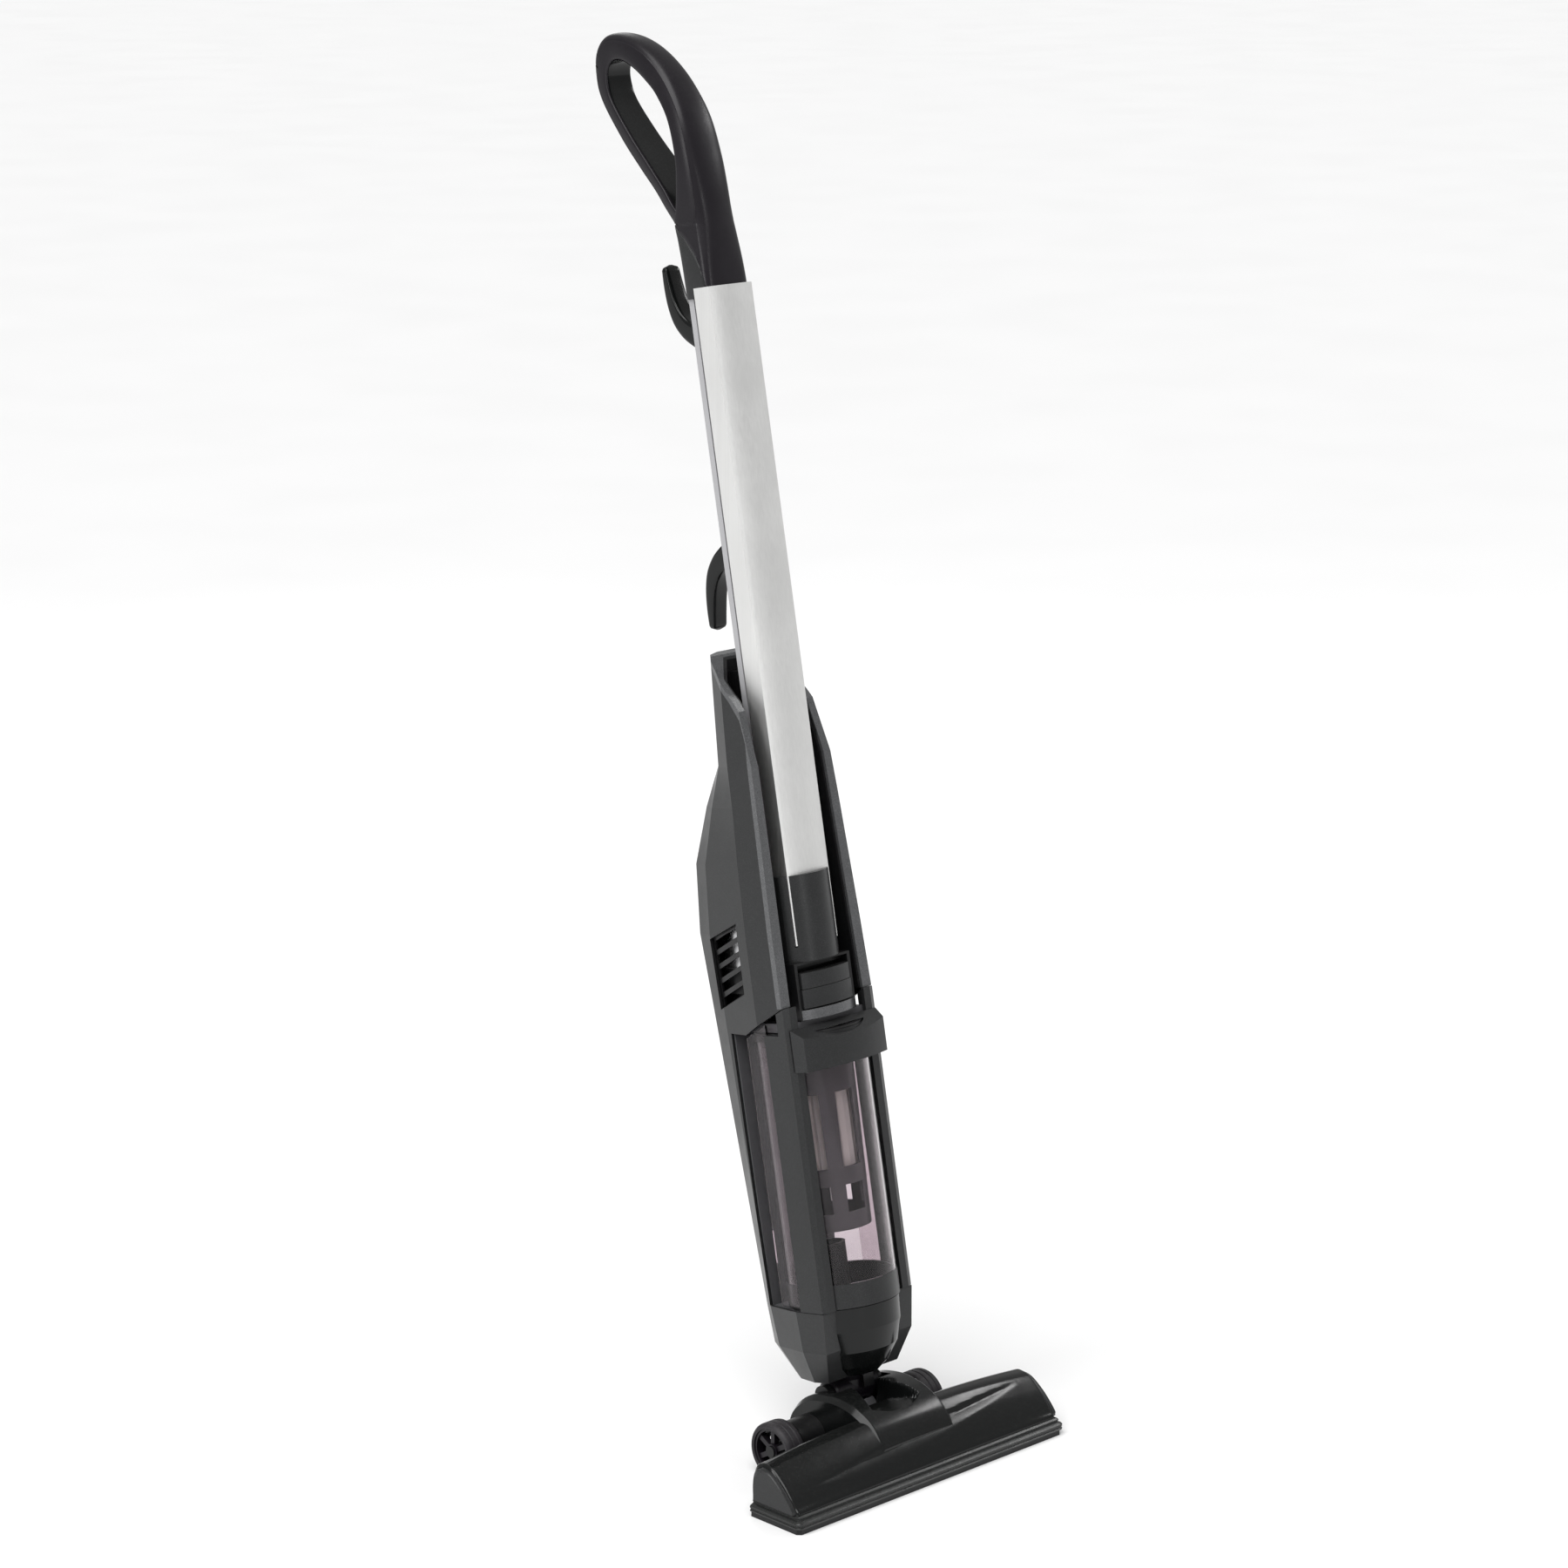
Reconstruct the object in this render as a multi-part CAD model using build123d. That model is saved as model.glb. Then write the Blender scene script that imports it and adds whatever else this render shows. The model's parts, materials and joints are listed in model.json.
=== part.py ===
from build123d import *
import os
from math import cos, radians, sin

# Stick vacuum, in millimetres. The floor is z = 0, the front is -Y and the origin is the middle of
# the sole. Everything above the neck is drawn in the stick's own frame: X across, -Y to the front,
# Z up the stick, and then leaned back about X. There "front" is a distance ahead of the stick's axis
# and "level" is a height along it.

# ---- stance ----
LEAN = 10.7
STICK_FOOT_Y = 26.8
PIVOT_FRONT = -17.0
PIVOT_LEVEL = 57.0

# ---- floor head ----
HEAD_HALF = 148.0
CAP_HALF = 147.0
COVER_HALF = 143.5
HEAD_FRONT = -42.5
COVER_FRONT = -36.5
HEAD_REAR = 13.0
CROWN_TOP = 50.5
END_TOP = 43.5
COVER_FOOT = 4.4
BAND_TOP = 14.0
SOLE_THICK = 4.0
HEAD_WALL = 2.2
MOUTH_HALF = 118.0
MOUTH_FRONT = -31.5
MOUTH_REAR = 10.5
HUMP_HALF = 42.0
RECESS_HALF = 25.0
CHASSIS_FOOT = 5.0
CARRIER_HALF = 66.0
# side lines of the hump, outside and inside: (y, z)
HUMP_LINE = [(-22, 40), (-17, 49), (-6, 55), (10, 60.5), (31, 62.5), (50, 59.5), (66, 52), (76, 42),
             (79.5, 30), (79.5, 8), (0, 8)]
HUMP_HOLLOW = [(-18, 38), (-14, 47), (-5, 52.8), (10, 58.3), (31, 60.3), (49, 57.4), (64.6, 50.4), (74, 41),
               (77.3, 29), (77.3, 7), (0, 7)]

# ---- wheels ----
WHEEL_Y = 54.0
WHEEL_R = 23.0
TYRE_WALL = 4.5
WHEEL_IN = 69.0
WHEEL_OUT = 87.0
AXLE_R = 3.0
RUN_GAP = 0.05

# ---- roller ----
BRUSH_Y = -14.0
BRUSH_Z = 17.5
CORE_R = 9.0
CORE_BORE_R = 7.6
TUFT_R = 15.3
TUFT_THICK = 3.0
CORE_HALF = 136.0
TUFT_HALF = 114.0
BEARING_IN = 131.0

# ---- screws ----
SCREW_R = 1.5
SCREW_PLACES = [(-132, -31), (132, -31), (-132, 6), (132, 6)]

# ---- neck ----
TRUNNION_R = 12.0
TRUNNION_HALF = 23.0
SPIGOT_R = 12.0
NECK_BORE_R = 9.5
PIN_R = 5.0
SOCKET_FOOT = 71.0
SOCKET_TOP = 84.0

# ---- hand unit: half outlines (across, front) at each level ----
UNIT_SECTIONS = [
    (72.0, [(38, 2), (40, -12), (34, -34), (26, -46), (14, -50)]),
    (98.0, [(47, 14), (47, -13), (38, -50), (29, -65), (18, -74)]),
    (130.0, [(49, 18), (49, -13), (40, -52), (30, -67), (18, -77)]),
    (373.0, [(49, 17), (49.5, -13), (40, -60), (33, -80), (20, -92)]),
    (430.0, [(47.6, 15.8), (48.5, -14), (40, -65), (34, -83), (20, -95)]),
    (485.0, [(45.6, 14.4), (46, -15), (37.5, -62), (31, -80), (18, -91)]),
    (530.0, [(44, 13.2), (43.5, -15), (35, -48), (27, -63), (16, -71)]),
    (562.0, [(42.6, 12.2), (42, -16), (35, -34), (27, -43), (14, -47)]),
    (656.0, [(36.5, -8), (36, -16), (31, -30), (24, -38), (13, -42)]),
]
UNIT_WALL = 2.6
SPLIT_LEVEL = 373.5
BIN_FOOT = 131.5
RIM_LINE = [(17, 373.5), (12.5, 560), (12.5, 580), (8, 598), (-2, 612), (-13, 624), (-24, 638), (-34, 648),
            (-50, 652)]
RIM_DEPTH = 5.0
CRADLE_SECTIONS = [(373.5, 39.5), (570.0, 35.0), (656.0, 30.0)]
CRADLE_BACK = -32.0
LINER_WALL = 1.8
WINDOW_REAR = -31.0
SEAM_DROP = 22.0
APRON_REAR = 6.0
VENT_REAR = -66.0
VENT_FRONT = -26.0
VENT_FOOT_REAR = 369.0
VENT_TOP_REAR = 426.0
VENT_RISE = 14.0
SLOT_COUNT = 5
PILLAR_GAP = 39.4
GRILLE_HALF = 15.0
GRILLE_LOW = 384.0
GRILLE_HIGH = 560.0
PORT_LEVEL = 371.0

# ---- buttons, motor and battery ----
TUBE_BUTTON = (384.4, 396.8)
BIN_BUTTON = (369.2, 384.0)
BUTTON_BACK = -11.0
BUTTON_TRAVEL = 3.0
WELL_BACK = -0.7
MOTOR_Y = 60.0
CELL_R = 9.0
CELL_LENGTH = 65.0
CELL_FOOTS = (204.0, 270.0)
CELL_FRONT = -63.2

# ---- bin ----
BIN_AXIS_FRONT = -8.0
VESSEL_R = 44.0
VESSEL_WALL = 2.0
BAND_LEVEL = 151.0
VESSEL_TOP = 345.0
PILLAR_IN = 36.8
HOOD_FOOT = 323.0
HOOD_EDGE = 346.0
HOOD_TOP = 356.0
BASKET_R = 31.5

# ---- stick ----
TUBE_HALF = 22.4
TUBE_EDGE = 14.3
TUBE_CROWN = 18.3
TUBE_BACK = -3.5
TUBE_WALL = 1.6
TUBE_FOOT = 418.0
JOINT_LEVEL = 923.5
STRIP_FRONT = -7.5
STRIP_BACK = -13.0
STRIP_HALF = 20.0
SOCKET_LEVELS = (405.0, 473.0)
HOOK_HALF = 8.0
HOOK_PIVOT = 893.5
LOWER_HOOK_SUM = 1619.0
HOOK_LINE = [(-13.4, 882), (-27, 888), (-40, 897), (-49, 909), (-54.5, 925), (-55, 954), (-51.5, 954.6),
             (-48.5, 927), (-42, 913), (-32, 905.5), (-13.4, 905)]

# ---- handle ----
HANDLE_OUTER = [(15, 923.5), (14.5, 970), (11, 1020), (1, 1070), (-20, 1106), (-52, 1131), (-82, 1137),
                (-97, 1118), (-94, 1088), (-75, 1055), (-42, 1011), (-22, 976), (-15.5, 945), (-15, 923.5)]
HANDLE_HOLE = [(-19, 990), (-9, 1018), (-9, 1046), (-20, 1076), (-42, 1101), (-66, 1115), (-81, 1110),
               (-79, 1086), (-58, 1054), (-36, 1020)]
HANDLE_WIDTHS = [(923.5, 22.4), (985, 21.4), (1050, 19.0), (1090, 16.0), (1137, 12.5)]
# seam between the front and the rear shell: round the foot, then close to the rear leg's back
SHELL_LINE = [(10, 915), (9.5, 934), (3.5, 953), (-8.5, 970), (-22.5, 987), (-38, 1013), (-71.3, 1057.5),
              (-89.8, 1089.5), (-106, 1113)]
LINING_WALL = 2.0
HANDLE_WALL = 2.6
TRIGGER_PLACE = (-10.3, 1058.0)
TRIGGER_TILT = 22.0

FIT_GAP = 0.3
FAR = 400.0


def unit_frame(shape):
    """Carries a shape from the stick's frame to the standing object."""
    return Location((0, STICK_FOOT_Y, 0), (-LEAN, 0, 0)) * shape


def outline(points):
    """Closed face through (x, y) points."""
    return make_face(Polyline([Vector(x, y) for x, y in points], close=True))


def mirrored(half):
    """Full outline from the (across, front) points of its +X half, front first."""
    right = [(x, -f) for x, f in half]
    left = [(-x, -f) for x, f in reversed(half)]
    return right + left


def prism(points, low, high):
    """Outline in the XY plane raised from low to high."""
    return Pos(0, 0, low) * extrude(outline(points), amount=high - low)


def side_prism(points, x_low, x_high):
    """Outline of (y, z) points carried along X."""
    face = Plane.YZ * outline(points)
    return Pos(x_low, 0, 0) * extrude(face, amount=x_high - x_low)


def stick_side(points, x_low, x_high):
    """Outline of (front, level) points carried along X in the stick's frame."""
    return side_prism([(-f, s) for f, s in points], x_low, x_high)


def upright(radius, height):
    """Cylinder that stands on the origin."""
    return Cylinder(radius, height, align=(Align.CENTER, Align.CENTER, Align.MIN))


def rod(radius, low, high, x=0.0, y=0.0):
    """Upright cylinder between two levels."""
    return Pos(x, y, low) * upright(radius, high - low)


def bar(radius, x_low, x_high, y, z):
    """Cylinder along X."""
    return Pos(x_low, y, z) * Rot(0, 90, 0) * upright(radius, x_high - x_low)


def block(x_low, x_high, y_low, y_high, z_low, z_high):
    """Box between two corners."""
    size = (x_high - x_low, y_high - y_low, z_high - z_low)
    corner = (Align.MIN, Align.MIN, Align.MIN)
    return Pos(x_low, y_low, z_low) * Box(*size, align=corner)


def mirror_pair(shape):
    """The shape and its mirror image across the middle plane."""
    return [shape, mirror(shape, about=Plane.YZ)]


def group(shapes):
    """Separate solids kept together in one node."""
    solids = []
    for shape in shapes:
        solids.extend(shape.solids())
    return Compound(solids)


def largest(shape):
    """Largest solid of a shape."""
    return shape.solids().sort_by(SortBy.VOLUME)[-1]


def leaned(front, level):
    """World (y, z) of a point of the stick's middle plane."""
    back = radians(LEAN)
    y = STICK_FOOT_Y - front * cos(back) + level * sin(back)
    z = front * sin(back) + level * cos(back)
    return y, z


PIVOT_Y, PIVOT_Z = leaned(PIVOT_FRONT, PIVOT_LEVEL)


# ---------------------------------------------------------------- floor head
def cover_lines(x, inset, foot):
    """Edges of the head's D-shaped section at x, drawn flat."""
    top = CROWN_TOP - (CROWN_TOP - END_TOP) * (x / HEAD_HALF) ** 2 - inset
    rear = HEAD_REAR - inset
    front = COVER_FRONT + inset
    shoulder = (rear, top - 10)
    ridge = (2, top)
    rear_arc = ThreePointArc(shoulder, (rear - 3, top - 3), ridge)
    if foot > BAND_TOP:
        front_arc = ThreePointArc(ridge, (-19, top * 0.775), (front, foot))
        return [Line((rear, foot), shoulder), rear_arc, front_arc, Line((front, foot), (rear, foot))]
    front_arc = ThreePointArc(ridge, (-19, top * 0.775), (front, BAND_TOP))
    return [Line((rear, foot), shoulder), rear_arc, front_arc, Line((front, BAND_TOP), (front, foot)),
            Line((front, foot), (rear, foot))]


def cover_section(x, inset, foot):
    """D-shaped upright section of the head at x."""
    return Pos(x, 0, 0) * (Plane.YZ * make_face(cover_lines(x, inset, foot)))


def head_form(half, inset, foot):
    """Crowned D-shaped form of the head."""
    stations = [-half, -half / 2, 0, half / 2, half]
    return loft([cover_section(x, inset, foot) for x in stations])


def make_head_cover():
    shell = head_form(COVER_HALF, 0, COVER_FOOT) - head_form(COVER_HALF + 1, HEAD_WALL, COVER_FOOT - 2)
    duct_mouth = block(-18.4, 18.4, 5, 20, 9, 37)
    return shell - duct_mouth


def make_end_caps():
    """End plates with the head's D outline, from the cover's end to the band's end."""
    face = Plane.YZ * make_face(cover_lines(COVER_HALF, 0, BAND_TOP + 0.1))
    plate = Pos(COVER_HALF, 0, 0) * extrude(face, amount=CAP_HALF - COVER_HALF)
    return group(mirror_pair(plate))


def make_bumper_band():
    groove_z = 9.0
    ring = block(-HEAD_HALF, HEAD_HALF, HEAD_FRONT, HEAD_REAR - 1, SOLE_THICK, BAND_TOP)
    slope = side_prism([(HEAD_FRONT - 1, BAND_TOP + 1), (HEAD_FRONT + 2.5, BAND_TOP + 1),
                        (HEAD_FRONT, SOLE_THICK + 1), (HEAD_FRONT - 1, SOLE_THICK + 1)], -FAR, FAR)
    inside = block(-COVER_HALF - 0.5, COVER_HALF + 0.5, COVER_FRONT - 0.4, HEAD_REAR + 1, 0, BAND_TOP + 1)
    groove = side_prism([(HEAD_FRONT - 1, groove_z - 1), (HEAD_FRONT + 2, groove_z - 1),
                         (HEAD_FRONT + 2, groove_z + 1), (HEAD_FRONT - 1, groove_z + 1)], -FAR, FAR)
    return ring - slope - inside - groove


def make_sole_plate():
    corner = 3.0
    half = HEAD_HALF - 1.5
    front = HEAD_FRONT + 1.5
    rear = HEAD_REAR - 1.0
    points = [(-half, rear), (-half, front + corner), (-half + corner, front), (half - corner, front),
              (half, front + corner), (half, rear)]
    plate = prism(points, 0, SOLE_THICK)
    mouth = block(-MOUTH_HALF, MOUTH_HALF, MOUTH_FRONT, MOUTH_REAR, -1, SOLE_THICK + 1)
    plate -= mouth
    for x, y in SCREW_PLACES:
        plate -= rod(SCREW_R, SOLE_THICK - 2, SOLE_THICK + 1, x, y)
    return plate


def make_neck_cover():
    """Hump behind the cover, hollow, with the recess and the slot that the neck tilts in."""
    shell = side_prism(HUMP_LINE, -HUMP_HALF, HUMP_HALF)
    shell -= side_prism(HUMP_HOLLOW, -HUMP_HALF + HEAD_WALL, HUMP_HALF - HEAD_WALL)
    shell -= head_form(COVER_HALF, -0.2, COVER_FOOT)
    recess = [(-10, 70), (-10, 52.5), (30, 46), (38, 38), (70, 38), (70, 70)]
    shell -= side_prism(recess, -RECESS_HALF - 4.5, RECESS_HALF + 4.5)
    shell -= side_prism([(60, 38), (90, 38), (90, 70), (60, 70)], -17, 17)
    floor_line = [(-10, 52.2), (30, 45.8), (37, 38.8), (37, 36.8), (29, 43.8), (-10, 50.2)]
    pan = side_prism(floor_line, -RECESS_HALF - 4.5, RECESS_HALF + 4.5)
    pan -= head_form(COVER_HALF, -0.2, COVER_FOOT)
    walls = []
    for side in (-1, 1):
        low, high = sorted((side * (RECESS_HALF + 4.5), side * (RECESS_HALF + 6)))
        wall_line = [(-8, 47), (-8, 53), (10, 58.5), (31, 60.4), (49, 57.6), (64, 50.6), (70, 45), (70, 36),
                     (38, 36), (30, 42)]
        wall = side_prism(wall_line, low, high)
        walls.append(wall - head_form(COVER_HALF, -0.2, COVER_FOOT))
    for wall in walls:
        shell += wall
    return shell + pan


def make_rear_chassis():
    """Floor of the hump and the two blocks that hold the wheel axles."""
    carrier_r = 17.0
    plate = block(-HUMP_HALF + HEAD_WALL + 0.1, HUMP_HALF - HEAD_WALL - 0.1, HEAD_REAR + 0.2, 77.1,
                  CHASSIS_FOOT, CHASSIS_FOOT + 2.5)
    result = plate
    for side in (-1, 1):
        low, high = sorted((side * (HUMP_HALF + 0.1), side * CARRIER_HALF))
        dome = bar(carrier_r, low, high, WHEEL_Y, WHEEL_R + 2)
        foot = block(low, high, WHEEL_Y - carrier_r, WHEEL_Y + carrier_r, 9, WHEEL_R + 2)
        hollow = bar(carrier_r - 2.5, low + 2.5, high - 2.5, WHEEL_Y, WHEEL_R + 2)
        post = bar(AXLE_R + 3, low, high, WHEEL_Y, WHEEL_R)
        tab_low, tab_high = sorted((side * (HUMP_HALF - 4), side * (HUMP_HALF + 4)))
        tab = block(tab_low, tab_high, WHEEL_Y - 14, WHEEL_Y + 14, CHASSIS_FOOT, 7.9)
        rib = block(low, high, WHEEL_Y - 14, WHEEL_Y + 14, CHASSIS_FOOT, 9.5)
        carrier = dome + foot - hollow + post + tab + rib
        result += carrier - bar(AXLE_R, -FAR, FAR, WHEEL_Y, WHEEL_R)
    return result


def make_head_duct():
    """Square duct from the brush chamber that ends in a round seat under the tilting neck."""
    outer = [(HEAD_REAR - 2, 10), (62, 10), (66, 24), (66, 44), (44, 44), (36, 35.5), (HEAD_REAR - 2, 35.5)]
    inner = [(HEAD_REAR - 4, 12), (60.8, 12), (64, 24.5), (64, 46), (46, 46), (36.8, 33.5),
             (HEAD_REAR - 4, 33.5)]
    duct = side_prism(outer, -17, 17) - side_prism(inner, -15, 15)
    return duct - bar(TRUNNION_R + 0.5, -FAR, FAR, PIVOT_Y, PIVOT_Z)


def make_neck_yoke():
    """Two cheeks with the pins that the neck tilts on."""
    cheeks = []
    for side in (-1, 1):
        low, high = sorted((side * (TRUNNION_HALF + 0.4), side * (RECESS_HALF + 4.2)))
        cheek = bar(9, low, high, PIVOT_Y, PIVOT_Z) + block(low, high, PIVOT_Y - 9, PIVOT_Y + 9, 7.6, PIVOT_Z)
        foot = block(low, high, PIVOT_Y - 14, PIVOT_Y + 14, 7.6, 10)
        pin_low, pin_high = sorted((side * 17.0, side * (RECESS_HALF + 4.2)))
        cheeks.append(cheek + foot + bar(PIN_R, pin_low, pin_high, PIVOT_Y, PIVOT_Z))
    return group(cheeks)


def make_tyre(side):
    low, high = sorted((side * WHEEL_IN, side * WHEEL_OUT))
    ring = bar(WHEEL_R, low, high, WHEEL_Y, WHEEL_R)
    ring = chamfer(ring.edges().filter_by(GeomType.CIRCLE), 1.5)
    return ring - bar(WHEEL_R - TYRE_WALL, -FAR, FAR, WHEEL_Y, WHEEL_R)


def make_hub(side):
    """Hub with six spokes between its boss and its rim."""
    rim_r = WHEEL_R - TYRE_WALL
    face_low, face_high = sorted((side * (WHEEL_IN + 2), side * (WHEEL_OUT - 1.5)))
    rim = bar(rim_r, face_low, face_high, WHEEL_Y, WHEEL_R) - bar(rim_r - 2, -FAR, FAR, WHEEL_Y, WHEEL_R)
    web_low, web_high = sorted((side * (WHEEL_OUT - 8), side * (WHEEL_OUT - 3)))
    hub = rim + bar(6, face_low, face_high, WHEEL_Y, WHEEL_R)
    for turn in range(6):
        spoke = block(web_low, web_high, -2, 2, 0, rim_r - 1)
        hub += Pos(0, WHEEL_Y, WHEEL_R) * Rot(turn * 60, 0, 0) * spoke
    return hub - bar(AXLE_R + RUN_GAP, -FAR, FAR, WHEEL_Y, WHEEL_R)


def make_wheel_axles():
    axle = bar(AXLE_R, HUMP_HALF + 2, WHEEL_OUT - 0.5, WHEEL_Y, WHEEL_R)
    cap = bar(AXLE_R + 1.5, WHEEL_OUT - 1.2, WHEEL_OUT, WHEEL_Y, WHEEL_R)
    return group(mirror_pair(axle + cap))


def make_brush_core():
    """Roller tube with the drive disc and shaft that reach into the motor."""
    core = bar(CORE_R, -CORE_HALF, CORE_HALF, BRUSH_Y, BRUSH_Z)
    core -= bar(CORE_BORE_R, -FAR, FAR, BRUSH_Y, BRUSH_Z)
    disc = bar(CORE_BORE_R + 0.2, 48, 56, BRUSH_Y, BRUSH_Z)
    return core + disc + bar(1.5, 56, 70, BRUSH_Y, BRUSH_Z)


def make_brush_strips():
    """Two bristle strips that wind half a turn round the core."""
    strips = []
    for start in (0, 180):
        sections = []
        for step in range(9):
            x = -TUFT_HALF + step * TUFT_HALF / 4
            face = Plane.YZ * make_face(Rectangle(TUFT_THICK, TUFT_R - CORE_R - 0.1).wire())
            lifted = Pos(0, 0, (CORE_R + TUFT_R) / 2 + 0.05) * face
            sections.append(Pos(x, BRUSH_Y, BRUSH_Z) * Rot(start + step * 22.5, 0, 0) * lifted)
        strips.append(loft(sections) - bar(CORE_R, -FAR, FAR, BRUSH_Y, BRUSH_Z))
    return group(strips)


def make_brush_motor():
    can = bar(6.8, 60, BEARING_IN, BRUSH_Y, BRUSH_Z)
    return can - bar(1.5 + RUN_GAP, 59, 71, BRUSH_Y, BRUSH_Z)


def make_brush_bearings():
    spigot = bar(CORE_BORE_R - 0.06, BEARING_IN, COVER_HALF - 0.1, BRUSH_Y, BRUSH_Z)
    collar = bar(CORE_R, CORE_HALF + 0.4, COVER_HALF - 0.1, BRUSH_Y, BRUSH_Z)
    return group(mirror_pair(spigot + collar))


def make_head_screws():
    """Four screws that join the sole and the cover."""
    return group([rod(SCREW_R, SOLE_THICK - 2, 12, x, y) for x, y in SCREW_PLACES])


# ---------------------------------------------------------------- neck
def make_neck_elbow():
    """Tilting cylinder with a short cone and the spigot that the hand unit turns on."""
    trunnion = bar(TRUNNION_R, -TRUNNION_HALF, TRUNNION_HALF, -PIVOT_FRONT, PIVOT_LEVEL)
    trunnion = chamfer(trunnion.edges().filter_by(GeomType.CIRCLE), 1.5)
    stand = (Align.CENTER, Align.CENTER, Align.MIN)
    cone_height = SOCKET_FOOT - PIVOT_LEVEL - 6.4
    cone = Pos(0, -PIVOT_FRONT, PIVOT_LEVEL + 6) * Cone(TRUNNION_R - 0.6, 13.6, cone_height, align=stand)
    spigot = rod(SPIGOT_R, PIVOT_LEVEL, SOCKET_TOP + 4.4, 0, -PIVOT_FRONT)
    body = trunnion + cone + spigot
    body -= rod(NECK_BORE_R, PIVOT_LEVEL - 1, SOCKET_TOP + 6, 0, -PIVOT_FRONT)
    throat = block(-NECK_BORE_R, NECK_BORE_R, -7, 7, -20, 0)
    body -= Pos(0, -PIVOT_FRONT, PIVOT_LEVEL) * Rot(-14, 0, 0) * throat
    for side in (-1, 1):
        low, high = sorted((side * 16.0, side * (TRUNNION_HALF + 1)))
        body -= bar(PIN_R + RUN_GAP, low, high, -PIVOT_FRONT, PIVOT_LEVEL)
    return body


def make_neck_clip():
    """Ring that snaps on the spigot above the socket."""
    ring = rod(15.5, SOCKET_TOP + 0.4, SOCKET_TOP + 3.4, 0, -PIVOT_FRONT)
    return ring - rod(SPIGOT_R, SOCKET_TOP, SOCKET_TOP + 4, 0, -PIVOT_FRONT)


def make_neck_catch():
    """Small square tab on the front of the neck."""
    front = -PIVOT_FRONT - TRUNNION_R
    tab = block(2, 13, front - 4, front + 6, PIVOT_LEVEL + 1, PIVOT_LEVEL + 11)
    return (tab - make_neck_elbow()).solids().sort_by(Axis.Y)[0]


# ---------------------------------------------------------------- hand unit
def unit_form(inset, low, high):
    """Faceted outer form of the hand unit, drawn in by inset, between two levels."""
    faces = []
    for level, half in UNIT_SECTIONS:
        face = outline(mirrored(half))
        if inset:
            face = offset(face, amount=-inset, kind=Kind.INTERSECTION)
        faces.append(Pos(0, 0, level) * face)
    form = loft(faces, ruled=True)
    return form & block(-FAR, FAR, -FAR, FAR, low, high)


def cradle_form(inset):
    """Space of the open cradle, to the front and upward."""
    faces = []
    for level, half in CRADLE_SECTIONS:
        wide = half - inset
        back = -CRADLE_BACK - inset
        curve = 14.0
        points = [(wide, -60), (wide, back - curve), (wide - curve, back), (curve - wide, back),
                  (-wide, back - curve), (-wide, -60)]
        faces.append(Pos(0, 0, level) * outline(points))
    return loft(faces, ruled=True)


def behind_rim(depth):
    """Half space behind the rim line moved back by depth."""
    moved = [(f - depth, s) for f, s in RIM_LINE]
    corners = [(-FAR, moved[-1][1]), (-FAR, moved[0][1]), (moved[0][0], moved[0][1])]
    return stick_side(moved + corners[:2], -FAR, FAR)


def seam_level(front, gap):
    """Level of the slanting seam over the side window."""
    slope = SEAM_DROP / (17 - WINDOW_REAR)
    return SPLIT_LEVEL - slope * (17 - front) + gap


def bin_room():
    """Space that the dust bin leaves through: everything ahead of the window's rear edge."""
    foot = BIN_FOOT - 0.5
    side = [(FAR, seam_level(FAR, 0)), (WINDOW_REAR, seam_level(WINDOW_REAR, 0)), (WINDOW_REAR, foot), (FAR, foot)]
    room = stick_side(side, -FAR, FAR)
    back = [(WINDOW_REAR + 1, 351), (-54, 351), (-54, foot), (WINDOW_REAR + 1, foot)]
    return room + stick_side(back, -46, 46)


def apron_profile(inset):
    """Radius of the round bowl at each level."""
    outside = [(43.6, 130.8), (42.4, 112), (37.5, 94), (28.5, 80)]
    return [(radius - inset, level) for radius, level in outside] + [(20 - inset, 72.5 + inset)]


def apron_form(inset):
    points = apron_profile(inset)
    section = [(0, points[0][1])] + points + [(0, points[-1][1])]
    face = Plane.XZ * outline(section)
    return Pos(0, -BIN_AXIS_FRONT, 0) * revolve(face, Axis.Z)


def vent_outline(margin):
    """Slanting panel of the side vent as (front, level) points."""
    rear = VENT_REAR - margin
    front = VENT_FRONT + margin
    foot = VENT_FOOT_REAR - margin
    top = VENT_TOP_REAR + margin
    return [(rear, foot), (front, foot + VENT_RISE), (front, top + VENT_RISE), (rear, top)]


def make_housing():
    """Both halves of the main shell."""
    shell = unit_form(0, 72, 656) - unit_form(UNIT_WALL, 72 + UNIT_WALL, 700)
    shell -= cradle_form(0)
    upper = shell & behind_rim(RIM_DEPTH)
    lower = (shell & block(-FAR, FAR, -FAR, FAR, 0, SPLIT_LEVEL)) - bin_room()
    lower -= apron_form(0)
    lower -= rod(20, 60, 90, 0, -PIVOT_FRONT)
    lower -= block(-PILLAR_GAP, PILLAR_GAP, -FAR, -WINDOW_REAR, 352, SPLIT_LEVEL + 1)
    shell = upper + lower
    shell -= stick_side(vent_outline(0), -FAR, FAR)
    shell -= block(-GRILLE_HALF, GRILLE_HALF, 46, FAR, GRILLE_LOW, GRILLE_HIGH)
    shell -= Pos(0, 92, PORT_LEVEL) * Rot(90, 0, 0) * Cylinder(5, 30)
    right = shell & block(0.05, FAR, -FAR, FAR, -FAR, FAR * 2)
    left = shell & block(-FAR, -0.05, -FAR, FAR, -FAR, FAR * 2)
    return keep_large(left), keep_large(right)


def keep_large(shape):
    """The shape without slivers left over from its cuts."""
    solids = [solid for solid in shape.solids() if solid.volume > 400]
    return solids[0] if len(solids) == 1 else Compound(solids)


def make_rim_trim():
    band = unit_form(0, SPLIT_LEVEL, 656) - cradle_form(0)
    return keep_large((band & behind_rim(0)) - behind_rim(RIM_DEPTH))


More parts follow.
